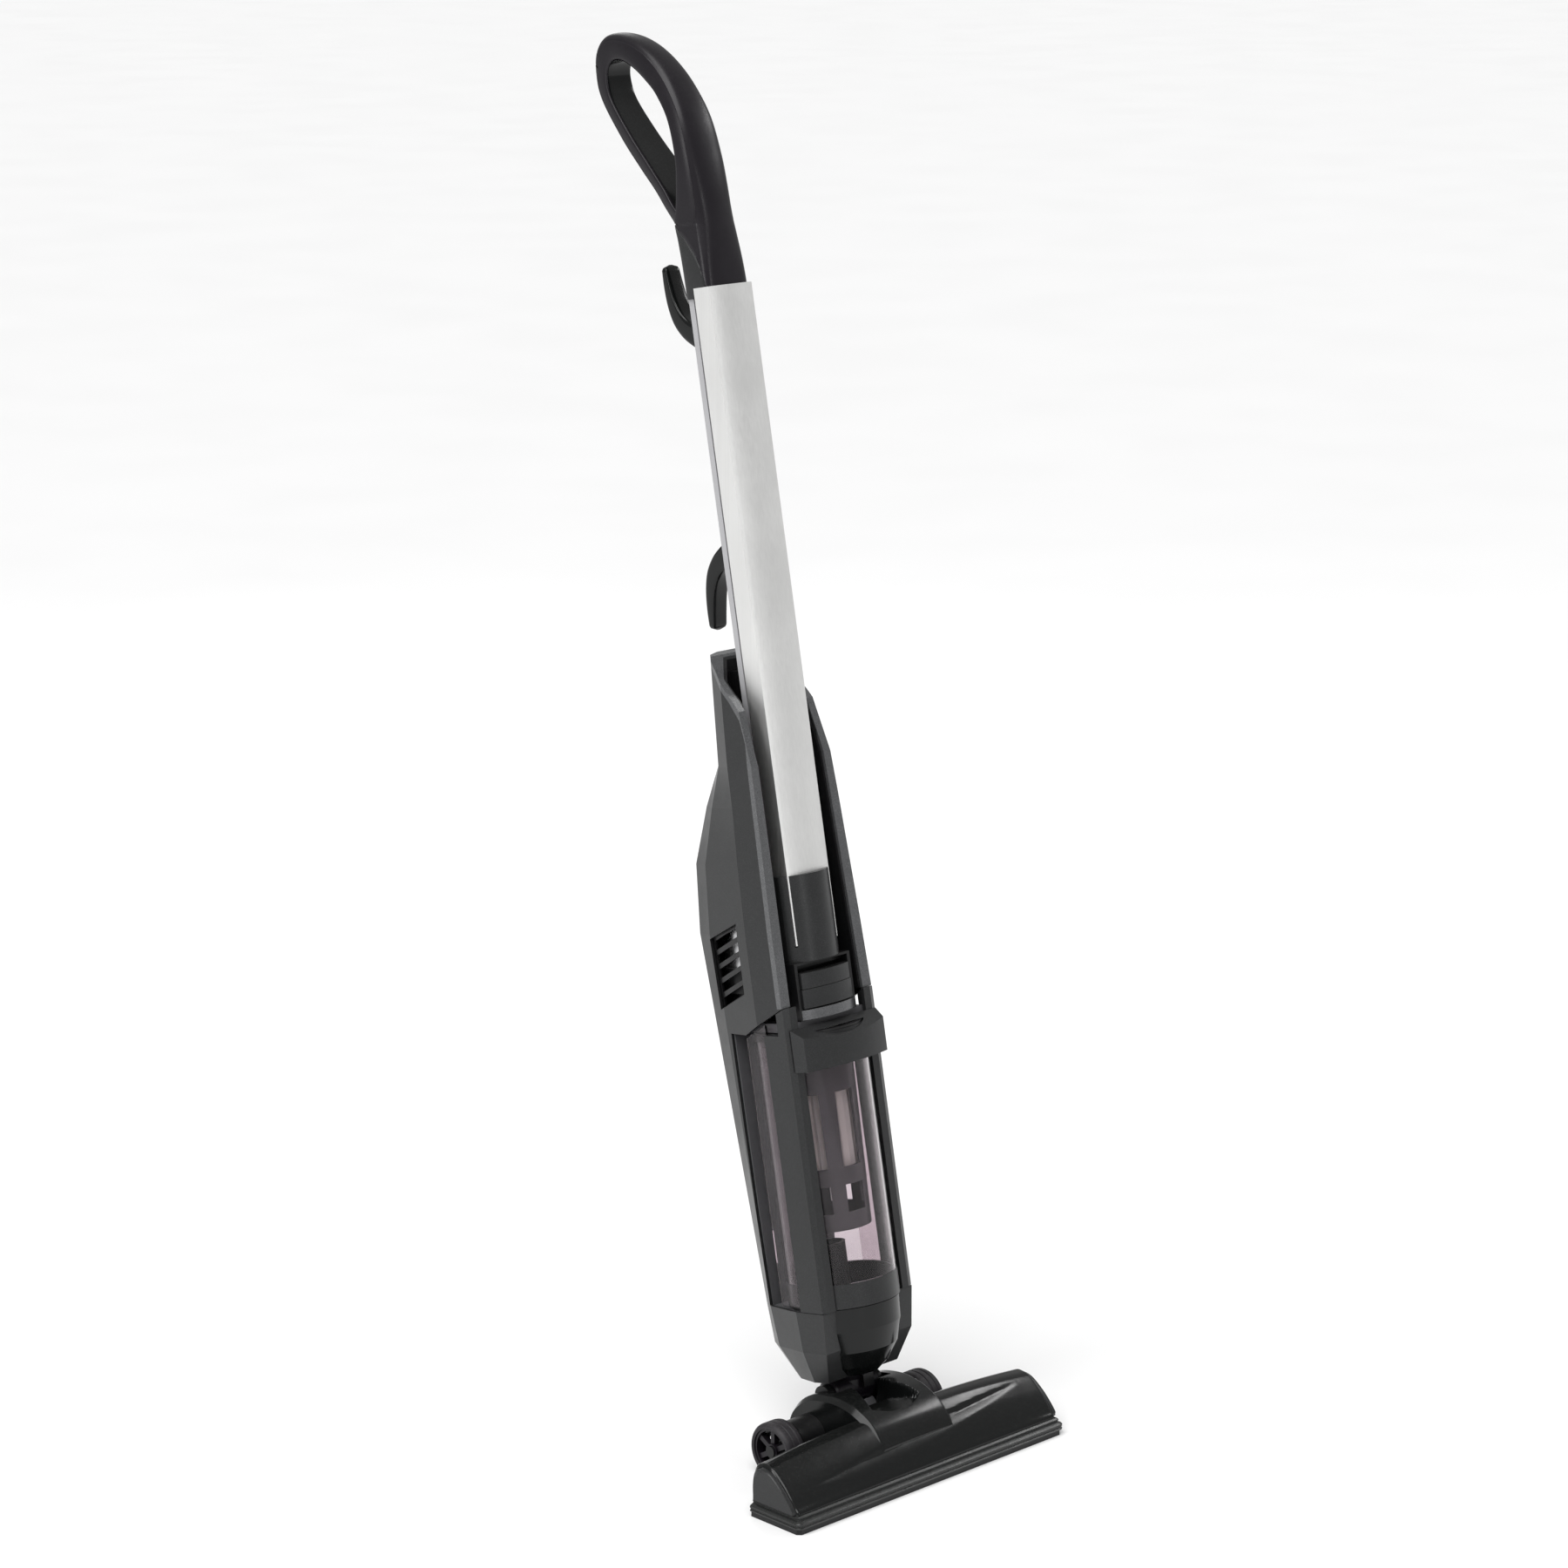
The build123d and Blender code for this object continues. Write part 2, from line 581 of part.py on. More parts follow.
def make_cradle_liner():
    """Liner of the cradle, with the small block high on its back."""
    wall = cradle_form(0.05) - cradle_form(LINER_WALL)
    back = -CRADLE_BACK - LINER_WALL
    liner = keep_large(wall & behind_rim(0.6) & unit_form(UNIT_WALL, SPLIT_LEVEL, 652))
    return liner + block(-14, 14, back - 7, back + 0.5, 612, 634)


def make_rear_grille():
    """Spine panel with exhaust ribs and a fin above them."""
    skin = unit_form(0, GRILLE_LOW + 0.2, GRILLE_HIGH - 0.2) - unit_form(UNIT_WALL, 300, 700)
    panel = skin & block(-GRILLE_HALF + 0.1, GRILLE_HALF - 0.1, 46, FAR, 300, 700)
    panel = keep_large(panel)
    for index in range(6):
        level = 489 + index * 7
        back = 92 - index * 3.1
        slot = block(-11, 11, back - 20, back + 9, level + 3.4, level + 6.4)
        panel -= slot
        edge = -2.5 - back
        rib_line = [(4 - back, level), (edge, level + 2), (edge, level + 3), (4 - back, level + 3)]
        rib = stick_side(rib_line, -12, 12)
        panel += rib - unit_form(UNIT_WALL - 0.4, 300, 700)
    fin = stick_side([(-66, 532), (-72.5, 534), (-49, 559.4), (-44, 559.4)], -5, 5)
    return keep_large(panel + (fin - unit_form(UNIT_WALL - 0.4, 300, 700)))


def side_grille(side):
    """Sunk louvre panel."""
    skin = unit_form(3.2, 340, 470) - unit_form(5.4, 330, 480)
    low, high = sorted((side * 20.0, side * 60.0))
    panel = skin & stick_side(vent_outline(2.0), low, high)
    height = (VENT_TOP_REAR - VENT_FOOT_REAR) / SLOT_COUNT
    for index in range(SLOT_COUNT):
        foot = VENT_FOOT_REAR + index * height + 2
        top = foot + height - 4
        slot = [(VENT_REAR + 3, foot), (VENT_FRONT - 4, foot + VENT_RISE - 1.5),
                (VENT_FRONT - 4, top + VENT_RISE - 1.5), (VENT_REAR + 3, top)]
        panel -= stick_side(slot, low, high)
    return keep_large(panel)


def make_side_grilles():
    return group([side_grille(-1), side_grille(1)])


def make_bowl_apron():
    """Round front of the bowl."""
    shell = apron_form(0) - apron_form(2.4)
    front = shell & block(-FAR, FAR, -FAR, APRON_REAR, 0, FAR)
    return keep_large(front - rod(20.1, 60, 90, 0, -PIVOT_FRONT))


def make_swivel_socket():
    flange = rod(19.9, SOCKET_FOOT, SOCKET_FOOT + 4, 0, -PIVOT_FRONT)
    barrel = rod(16, SOCKET_FOOT, SOCKET_TOP, 0, -PIVOT_FRONT)
    return flange + barrel - rod(SPIGOT_R + RUN_GAP, 60, 100, 0, -PIVOT_FRONT)


def make_inlet_pipe():
    """Pipe from the neck up to the bin's floor."""
    flange = rod(18, SOCKET_TOP + 5, SOCKET_TOP + 7, 0, -PIVOT_FRONT)
    pipe = rod(12.5, SOCKET_TOP + 5, 130.5, 0, -PIVOT_FRONT)
    skirt = rod(18, SOCKET_TOP - 8, SOCKET_TOP + 7, 0, -PIVOT_FRONT)
    skirt -= rod(16.05, 60, SOCKET_TOP + 5, 0, -PIVOT_FRONT)
    return flange + pipe + skirt - rod(10, 60, 140, 0, -PIVOT_FRONT)


def make_inner_chassis():
    """Deck over the bin, wall behind it and the shelf that it stands on, moulded in one."""
    inner = unit_form(UNIT_WALL + 0.05, 100, 360)
    deck = inner & block(-FAR, FAR, -FAR, FAR, 352.4, 359.6)
    front_room = block(-FAR, FAR, -FAR, 31.6, 300, 400) - block(-39.2, 39.2, -16.6, 32, 300, 400)
    deck -= front_room
    deck -= rod(16, 340, 370, 0, MOTOR_Y)
    wall = inner & block(-44.5, 44.5, 52.4, 53.8, 128, 353)
    shelf = inner & block(-FAR, FAR, APRON_REAR + 0.2, FAR, 126, 130.4)
    shelf += rod(40.2, 126, 130.4, 0, -BIN_AXIS_FRONT) & block(-FAR, FAR, -FAR, APRON_REAR + 1, 0, FAR)
    shelf -= rod(12.55, 100, 140, 0, -PIVOT_FRONT)
    return keep_large(deck + wall + shelf)


def tube_plan(grow):
    """D-shaped plan of the tube as a face."""
    half = TUBE_HALF + grow
    front = -(TUBE_EDGE)
    crown = -(TUBE_CROWN + grow)
    back = -TUBE_BACK + grow
    lines = [Line((-half, back), (-half, front)), ThreePointArc((-half, front), (0, crown), (half, front)),
             Line((half, front), (half, back)), Line((half, back), (-half, back))]
    return make_face(lines)


def socket_plan():
    """Plan of the collar: round front, flat back."""
    half = 26.5
    lines = [Line((-half, 16.5), (-half, -8)), ThreePointArc((-half, -8), (0, -23.5), (half, -8)),
             Line((half, -8), (half, 16.5)), Line((half, 16.5), (-half, 16.5))]
    return make_face(lines)


def make_tube_socket():
    low, high = SOCKET_LEVELS
    body = Pos(0, 0, low) * extrude(socket_plan(), amount=high - low)
    room = Pos(0, 0, TUBE_FOOT - 1) * extrude(tube_plan(FIT_GAP), amount=100)
    wide = STRIP_HALF + FIT_GAP
    back_room = block(-wide, wide, 0, -STRIP_BACK + FIT_GAP, TUBE_FOOT - 1, 520)
    foot = block(-20, 20, 13, 30.1, low, low + 22)
    return body - room - back_room + foot


def make_button_housing():
    """Black well that the two buttons sit in."""
    body = block(-30, 30, -17, 21, 359.7, 404.9)
    well = block(-27, 27, -60, -0.5, 368.6, 399)
    window = block(-27, 27, -60, -9, 395, 403)
    inside = block(-26, 26, 2, 18, 363, 402)
    return body - well - window - inside


def button_plan(half, crown):
    lines = [Line((-half, -11), (-half, -18.6)), ThreePointArc((-half, -18.6), (0, -crown), (half, -18.6)),
             Line((half, -18.6), (half, -11)), Line((half, -11), (-half, -11))]
    return make_face(lines)


def make_button(half, low, high):
    """Crowned push band with a post for its spring."""
    face = Pos(0, 0, low) * extrude(button_plan(half, 23.4), amount=high - low)
    post_level = (low + high) / 2
    post = Pos(0, BUTTON_BACK - 0.1, post_level) * Rot(-90, 0, 0) * upright(2, 4)
    return face + post


def make_button_spring(low, high):
    """Sleeve for the button's spring, as short as the pressed button leaves it."""
    level = (low + high) / 2
    front = BUTTON_BACK + BUTTON_TRAVEL + 0.2
    length = WELL_BACK - front
    ring = upright(3.6, length) - upright(2.4, length)
    return Pos(0, front, level) * Rot(-90, 0, 0) * ring


def make_button_apron():
    """Bright crescent under the buttons."""
    low = 360.4
    plan = make_face([Line((-32.5, -12), (-32.5, -14)), ThreePointArc((-32.5, -14), (0, -25), (32.5, -14)),
                      Line((32.5, -14), (32.5, -12)), Line((32.5, -12), (-32.5, -12))])
    crescent = Pos(0, 0, low) * extrude(plan, amount=7.6)
    return keep_large(crescent - block(-30.05, 30.05, -17.05, 30, 300, 400))


def make_main_motor():
    """Motor can with its end bell and the bore for its shaft."""
    body = rod(24, 398, 442, 0, MOTOR_Y) + rod(19, 442, 456, 0, MOTOR_Y) + rod(26.5, 394, 400, 0, MOTOR_Y)
    return body - rod(2.5 + RUN_GAP, 390, 460, 0, MOTOR_Y)


def make_impeller():
    """Fan with nine blades between two discs, on the motor's shaft."""
    fan = rod(23, 390.6, 392, 0, MOTOR_Y) + rod(5, 381.5, 392, 0, MOTOR_Y) + rod(2.5, 381.5, 455, 0, MOTOR_Y)
    eye = rod(23, 381.5, 382.9, 0, MOTOR_Y) - rod(11, 380, 384, 0, MOTOR_Y)
    fan += eye
    for turn in range(9):
        blade = block(4, 22.6, -0.6, 0.6, 382, 391)
        fan += Pos(0, MOTOR_Y, 0) * Rot(0, 0, turn * 40) * blade
    return fan


def make_motor_mount():
    """Cup round the fan that carries the motor, on a round seal over the deck."""
    cup = rod(27.5, 379.8, 400, 0, MOTOR_Y) - rod(24.6, 381, 393.8, 0, MOTOR_Y)
    cup -= rod(26.55, 393.8, 401, 0, MOTOR_Y)
    seal = rod(23.5, 359.7, 380, 0, MOTOR_Y)
    return cup + seal - rod(16.5, 350, 382, 0, MOTOR_Y)


def make_battery_pack():
    """Six cells in two rows with their end plates and middle plate."""
    pieces = []
    for foot in CELL_FOOTS:
        for x in (-19.0, 0.0, 19.0):
            pieces.append(rod(CELL_R, foot, foot + CELL_LENGTH, x, -CELL_FRONT))
    top = CELL_FOOTS[1] + CELL_LENGTH
    plates = [(CELL_FOOTS[0] - 2.1, CELL_FOOTS[0]), (CELL_FOOTS[1] - 1, CELL_FOOTS[1]), (top, top + 2.1)]
    for low, high in plates:
        pieces.append(block(-27.6, 27.6, 54.4, 70, low, high))
    return group(pieces)


def make_control_board():
    board = block(-20, 20, 76, 77.6, 306, 334)
    for x in (-12, 0, 12):
        board += block(x - 3, x + 3, 73, 76, 312, 322)
    return board


def make_charge_socket():
    barrel = Pos(0, 92.6, PORT_LEVEL) * Rot(90, 0, 0) * upright(4.9, 7.5)
    bore = Pos(0, 93, PORT_LEVEL) * Rot(90, 0, 0) * upright(2.8, 6)
    return barrel - bore


# ---------------------------------------------------------------- dust bin
def vessel_rod(radius, low, high):
    return rod(radius, low, high, 0, -BIN_AXIS_FRONT)


def make_bin_frame():
    """Two curved pillars on a round foot, with the short pipe that lets the dirt in."""
    frame = vessel_rod(VESSEL_R + 0.2, BIN_FOOT, BAND_LEVEL) - vessel_rod(VESSEL_R - 3, BIN_FOOT + 2.5, 200)
    frame -= rod(12.2, 100, 160, 0, -PIVOT_FRONT)
    for side in (-1, 1):
        plan = [(PILLAR_IN, -20.3), (44, -20.0), (49, -17.6), (49.2, 7), (43, 7), (PILLAR_IN, -12)]
        points = [(side * x, y) for x, y in plan]
        pillar = prism(points, BIN_FOOT, SPLIT_LEVEL)
        cut = [(FAR, seam_level(FAR, -0.8)), (-60, seam_level(-60, -0.8)), (-60, 900), (FAR, 900)]
        pillar -= stick_side(cut, -FAR, FAR)
        pillar -= vessel_rod(VESSEL_R + 0.15, BAND_LEVEL, 352)
        pillar -= block(-39.7, 39.7, -17.2, FAR, 351.9, 400)
        pillar -= block(-FAR, FAR, -9.5, FAR, 351.9, 400)
        frame += pillar
    frame += rod(12.25, BIN_FOOT, 176, 0, -PIVOT_FRONT) - rod(10, 100, 200, 0, -PIVOT_FRONT)
    return keep_large(frame)


def make_bin_windows(frame):
    """Clear side panels between the pillars and the rear shell."""
    low, high = BIN_FOOT + 3, 350.5
    side = [(-6.6, low), (-6.6, high + 9.5), (WINDOW_REAR + 1.2, high - 1.5), (WINDOW_REAR + 1.2, low)]
    panels = []
    for sign in (-1, 1):
        x_low, x_high = sorted((sign * 45.2, sign * 47.2))
        panel = stick_side(side, x_low, x_high)
        panels.append(panel - vessel_rod(VESSEL_R + 0.3, 100, 400))
    return group([panel - frame for panel in panels])


def make_bin_vessel():
    tube = vessel_rod(VESSEL_R, BAND_LEVEL + 0.05, VESSEL_TOP) - vessel_rod(VESSEL_R - VESSEL_WALL, 100, 400)
    return tube


def make_bin_top_ring():
    ring = vessel_rod(VESSEL_R, VESSEL_TOP + 0.05, 350) - vessel_rod(26.5, 300, 360)
    lip = vessel_rod(VESSEL_R - VESSEL_WALL - 0.2, 341, VESSEL_TOP + 0.1)
    lip -= vessel_rod(BASKET_R + 3.1, 300, 360)
    seal = vessel_rod(VESSEL_R - 1, 349.9, 351.8) - vessel_rod(VESSEL_R - 5, 340, 360)
    return ring + lip + seal


def make_bin_hood():
    """Finger hood: a sloping brow over the vessel's front."""
    brow = ThreePointArc((-43.5, -31.5), (0, -38.6), (43.5, -31.5))
    plan = make_face([Line((-46.5, -20.6), (-43.5, -31.5)), brow, Line((43.5, -31.5), (46.5, -20.6)),
                      Line((46.5, -20.6), (-46.5, -20.6))])
    solid = Pos(0, 0, HOOD_FOOT) * extrude(plan, amount=HOOD_TOP - HOOD_FOOT)
    slope = [(60, HOOD_EDGE - 3), (38, HOOD_EDGE), (20.6, HOOD_TOP), (20.6, HOOD_TOP + 20),
             (60, HOOD_TOP + 20)]
    solid -= stick_side(slope, -FAR, FAR)
    solid -= vessel_rod(VESSEL_R + 0.2, 300, 352.2)
    return keep_large(solid)


def make_filter_basket():
    """Tapered cage with square openings."""
    low, high = 190.0, 344.9
    stand = (Align.CENTER, Align.CENTER, Align.MIN)
    outer = Pos(0, -BIN_AXIS_FRONT, low) * Cone(29, BASKET_R, high - low, align=stand)
    inner = Pos(0, -BIN_AXIS_FRONT, low + 2) * Cone(27.2, BASKET_R - 1.6, high - low, align=stand)
    basket = outer - inner + (vessel_rod(BASKET_R + 3, 342, 344.9) - vessel_rod(BASKET_R - 2.2, 300, 360))
    for turn in range(6):
        for foot, top in ((204, 226), (240, 300)):
            opening = block(20, 40, -9, 9, foot, top)
            basket -= Pos(0, -BIN_AXIS_FRONT, 0) * Rot(0, 0, 30 + turn * 60) * opening
    return keep_large(basket)


def make_pleated_filter():
    """Star-shaped filter cartridge with its flange."""
    points = []
    for index in range(48):
        angle = radians(index * 7.5)
        radius = 24.5 if index % 2 else 20.5
        points.append((radius * cos(angle), radius * sin(angle)))
    star = Pos(0, -BIN_AXIS_FRONT, 0) * prism(points, 232, 346)
    star -= vessel_rod(16, 236, 400)
    return star + (vessel_rod(26.3, 346, 349.6) - vessel_rod(16, 340, 400))


# ---------------------------------------------------------------- stick
def make_tube():
    outer = Pos(0, 0, TUBE_FOOT) * extrude(tube_plan(0), amount=JOINT_LEVEL - TUBE_FOOT + 8)
    inner = Pos(0, 0, TUBE_FOOT - 1) * extrude(tube_plan(-TUBE_WALL), amount=JOINT_LEVEL - TUBE_FOOT + 20)
    grooves = []
    for side in (-1, 1):
        groove = rod(0.6, TUBE_FOOT - 1, JOINT_LEVEL, side * (TUBE_HALF - 2.4), -TUBE_EDGE - 1.4)
        grooves.append(groove)
    tube = outer - inner
    for groove in grooves:
        tube -= groove
    return tube


def make_slot_channel():
    """Black channel between the tube and its rear strip."""
    return block(-19, 19, -TUBE_BACK + 0.02, -STRIP_FRONT - 0.02, TUBE_FOOT, JOINT_LEVEL)


def make_rear_strip():
    """Flat strip down the back of the tube, with the pin that the upper hook turns on."""
    strip = block(-STRIP_HALF, STRIP_HALF, -STRIP_FRONT, -STRIP_BACK, TUBE_FOOT, JOINT_LEVEL)
    return strip + Pos(0, -STRIP_BACK - 1, HOOK_PIVOT) * Rot(-90, 0, 0) * upright(3, 9.5)


def make_hook_upper():
    hook = stick_side(HOOK_LINE, -HOOK_HALF, HOOK_HALF)
    bore = Pos(0, 10, HOOK_PIVOT) * Rot(-90, 0, 0) * upright(3 + RUN_GAP, 14)
    return hook - bore


def make_hook_lower():
    line = [(f if f < -14 else -13.0, LOWER_HOOK_SUM - s) for f, s in HOOK_LINE]
    return stick_side(line, -HOOK_HALF, HOOK_HALF)


# ---------------------------------------------------------------- handle
def heading(points, index):
    """Direction of a closed line of points at one of them."""
    ahead = Vector(*points[(index + 1) % len(points)])
    return (ahead - Vector(*points[index - 1])).normalized()


def pushed(points, amount):
    """Closed line of points moved outward by amount."""
    moved = []
    for index, (front, level) in enumerate(points):
        along = heading(points, index)
        moved.append((front + along.Y * amount, level - along.X * amount))
    return moved


def smooth_line(points):
    """Smooth line through (front, level) points, in the side plane."""
    return Spline([Vector(-f, s) for f, s in points])


def smooth_loop(points):
    """Face inside a smooth line that comes back to its first point."""
    return make_face(smooth_line(points + points[:1]))


def handle_loop(inset):
    """Side face of the handle, drawn in by inset."""
    edge = smooth_line(pushed(HANDLE_OUTER, -inset))
    return make_face([edge, Line(edge @ 1, edge @ 0)])


def across(face, half):
    """Flat side face carried to both sides of the middle plane."""
    return Pos(-half, 0, 0) * extrude(Plane.YZ * face, amount=2 * half, dir=(1, 0, 0))


def handle_widths(inset):
    """Front outline of the handle, narrower toward its top."""
    right = [(half - inset, level) for level, half in HANDLE_WIDTHS]
    low = [(right[0][0], right[0][1] - 20)]
    top = [(right[-1][0], right[-1][1] + 20)]
    side = low + right + top
    return side + [(-x, s) for x, s in reversed(side)]


def handle_front_view(inset):
    return extrude(Plane.XZ * outline(handle_widths(inset)), amount=FAR, both=True)


def make_handle():
    """Front shell, rear shell and the lining of the finger opening."""
    hole = across(smooth_loop(HANDLE_HOLE), TUBE_HALF)
    lined_hole = across(smooth_loop(pushed(HANDLE_HOLE, LINING_WALL)), TUBE_HALF)
    walled_hole = across(smooth_loop(pushed(HANDLE_HOLE, LINING_WALL + HANDLE_WALL)), TUBE_HALF)
    loop = across(handle_loop(0), TUBE_HALF)
    cavity = (across(handle_loop(HANDLE_WALL), TUBE_HALF) - walled_hole) & handle_front_view(HANDLE_WALL)
    cavity -= block(-FAR, FAR, -FAR, FAR, 0, JOINT_LEVEL + 11)
    cavity -= trigger_block(3.0, 4.2)
    room = Pos(0, 0, JOINT_LEVEL - 1) * extrude(tube_plan(0.02), amount=9.2)
    grip = ((loop - lined_hole) & handle_front_view(0)) - room - trigger_block(1.0, 2.2) - cavity
    seam = smooth_line(SHELL_LINE)
    ahead = make_face([seam, Line(seam @ 1, (300, 1300)), Line((300, 1300), (-300, 1300)),
                       Line((-300, 1300), (-300, 915)), Line((-300, 915), seam @ 0)])
    half = across(ahead, TUBE_HALF + 1)
    lining = ((lined_hole & loop) - hole) & handle_front_view(1.2)
    lining -= trigger_block(0.4, 2.2)
    return largest(grip & half), largest(grip - half), largest(lining)


def trigger_block(grow, behind):
    """Block of the trigger on the inner face of the front leg."""
    long_half = 12.0 + grow
    wide = 5.0 + grow
    body = block(-wide, wide, -4.0 - behind, 2.4, -long_half, long_half)
    return Pos(0, -TRIGGER_PLACE[0], TRIGGER_PLACE[1]) * Rot(-TRIGGER_TILT, 0, 0) * body


def make_power_trigger():
    return trigger_block(0, 0)


# ---------------------------------------------------------------- the whole object
def head_nodes():
    nodes = {
        "head_cover": make_head_cover(),
        "end_caps": make_end_caps(),
        "bumper_band": make_bumper_band(),
        "sole_plate": make_sole_plate(),
        "neck_cover": make_neck_cover(),
        "rear_chassis": make_rear_chassis(),
        "head_duct": make_head_duct(),
        "neck_yoke": make_neck_yoke(),
        "wheel_axles": make_wheel_axles(),
        "brush_core": make_brush_core(),
        "brush_strips": make_brush_strips(),
        "brush_motor": make_brush_motor(),
        "brush_bearings": make_brush_bearings(),
        "head_screws": make_head_screws(),
    }
    for name, side in (("left", -1), ("right", 1)):
        nodes["tyre_" + name] = make_tyre(side)
        nodes["hub_" + name] = make_hub(side)
    return nodes


def neck_nodes():
    return {
        "neck_elbow": make_neck_elbow(),
        "neck_clip": make_neck_clip(),
        "neck_catch": make_neck_catch(),
    }


def unit_nodes():
    left, right = make_housing()
    return {
        "housing_left": left,
        "housing_right": right,
        "rim_trim": make_rim_trim(),
        "cradle_liner": make_cradle_liner(),
        "rear_grille": make_rear_grille(),
        "side_grilles": make_side_grilles(),
        "bowl_apron": make_bowl_apron(),
        "swivel_socket": make_swivel_socket(),
        "inlet_pipe": make_inlet_pipe(),
        "inner_chassis": make_inner_chassis(),
        "tube_socket": make_tube_socket(),
        "button_housing": make_button_housing(),
        "button_apron": make_button_apron(),
        "tube_button": make_button(25.6, *TUBE_BUTTON),
        "bin_button": make_button(26.3, *BIN_BUTTON),
        "tube_button_spring": make_button_spring(*TUBE_BUTTON),
        "bin_button_spring": make_button_spring(*BIN_BUTTON),
        "main_motor": make_main_motor(),
        "impeller": make_impeller(),
        "motor_mount": make_motor_mount(),
        "battery_pack": make_battery_pack(),
        "control_board": make_control_board(),
        "charge_socket": make_charge_socket(),
    }


def bin_nodes():
    frame = make_bin_frame()
    return {
        "bin_frame": frame,
        "bin_vessel": make_bin_vessel(),
        "bin_windows": make_bin_windows(frame),
        "bin_top_ring": make_bin_top_ring(),
        "bin_hood": make_bin_hood(),
        "filter_basket": make_filter_basket(),
        "pleated_filter": make_pleated_filter(),
    }


def stick_nodes():
    front, rear, lining = make_handle()
    return {
        "tube": make_tube(),
        "slot_channel": make_slot_channel(),
        "rear_strip": make_rear_strip(),
        "hook_upper": make_hook_upper(),
        "hook_lower": make_hook_lower(),
        "handle_front": front,
        "handle_rear": rear,
        "grip_lining": lining,
        "power_trigger": make_power_trigger(),
    }


def main():
    os.makedirs("parts", exist_ok=True)
    for name, shape in head_nodes().items():
        export_step(shape, f"parts/{name}.step")
    for nodes in (neck_nodes(), unit_nodes(), bin_nodes(), stick_nodes()):
        for name, shape in nodes.items():
            export_step(unit_frame(shape), f"parts/{name}.step")


main()
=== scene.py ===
import json
import math

import bpy
import numpy as np
from mathutils import Matrix, Vector


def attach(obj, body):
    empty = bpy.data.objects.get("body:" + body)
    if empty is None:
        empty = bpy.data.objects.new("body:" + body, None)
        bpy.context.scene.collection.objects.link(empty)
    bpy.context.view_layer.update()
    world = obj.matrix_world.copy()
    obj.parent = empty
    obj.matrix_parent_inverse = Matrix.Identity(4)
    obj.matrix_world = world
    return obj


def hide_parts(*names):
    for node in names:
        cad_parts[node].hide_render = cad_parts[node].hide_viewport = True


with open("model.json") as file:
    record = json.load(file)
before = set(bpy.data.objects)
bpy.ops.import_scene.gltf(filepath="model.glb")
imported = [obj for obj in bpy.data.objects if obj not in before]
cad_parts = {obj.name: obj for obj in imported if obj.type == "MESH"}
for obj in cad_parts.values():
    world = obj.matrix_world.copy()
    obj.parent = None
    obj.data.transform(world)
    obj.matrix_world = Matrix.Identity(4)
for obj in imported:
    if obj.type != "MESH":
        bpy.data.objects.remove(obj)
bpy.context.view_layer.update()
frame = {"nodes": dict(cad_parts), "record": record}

bl_info = {
    "name": "Stick Vacuum Finishes",
    "version": (1, 0, 0),
    "blender": (4, 5, 0),
    "location": "View3D > Sidebar > Stick Vacuum",
    "description": "Moulded shells, hooks, wheels, bristles and finishes for a leaning stick vacuum",
    "category": "Object",
}

LEAN = math.radians(10.7)
FOOT_Y = 26.8
MM = 0.001
# Millimetres: y and z of the two axes in the head, the strip's rear face, from which the hooks grow,
# and what the levels of matching points on the two hooks add up to.
ROLLER_AXIS = (-14.0, 17.5)
WHEEL_AXIS = (54.0, 23.0)
STRIP_FACE = -13.4
HOOK_LEVEL_SUM = 1619.0
# Metres, degrees and millimetres of lens: the photograph's viewpoint.
CAMERA_PLACE = (-2.2453, -2.2282, 1.3172)
CAMERA_AHEAD = (0.6708, 0.7037, -0.2343)
CAMERA_ROLL = -0.15
CAMERA_LENS = 98.6


# ---------------------------------------------------------------- numpy surfaces
def stand(across, front, level):
    """Carries stick measures in millimetres to the standing object in metres: the stick leans back
    by LEAN about X, so y falls with front and rises with level, and z is what is left of both."""
    y = FOOT_Y - front * math.cos(LEAN) + level * math.sin(LEAN)
    z = front * math.sin(LEAN) + level * math.cos(LEAN)
    return np.stack(np.broadcast_arrays(across, y, z), axis=-1) * MM


def spline_through(points, count):
    """Catmull-Rom curve: between two points each coordinate is the cubic whose slope at a point is
    half the step between that point's neighbours, sampled count times at even parameter."""
    points = np.asarray(points, float)
    ring = np.vstack([2 * points[:1] - points[1:2], points, 2 * points[-1:] - points[-2:-1]])
    spans = len(points) - 1
    t = np.linspace(0, spans, count)
    span = np.minimum(t.astype(int), spans - 1)
    f = (t - span)[:, None]
    a, b, c, d = ring[span], ring[span + 1], ring[span + 2], ring[span + 3]
    return b + 0.5 * f * (c - a + f * (2 * a - 5 * b + 4 * c - d + f * (3 * (b - c) + d - a)))


def superellipse(angle, power):
    """Unit superellipse: each coordinate is the cosine or sine raised to 2 / power with its sign kept."""
    c, s = np.cos(angle), np.sin(angle)
    return np.sign(c) * np.abs(c) ** (2 / power), np.sign(s) * np.abs(s) ** (2 / power)


def grid_faces(rows, columns, wrap_rows, wrap_columns):
    """Quads between neighbouring grid points, and across the seams of wrapped directions."""
    r = np.arange(rows if wrap_rows else rows - 1)
    c = np.arange(columns if wrap_columns else columns - 1)
    r, c = np.meshgrid(r, c, indexing="ij")
    r2, c2 = (r + 1) % rows, (c + 1) % columns
    quads = np.stack([r * columns + c, r2 * columns + c, r2 * columns + c2, r * columns + c2], axis=-1)
    return quads.reshape(-1, 4).tolist()


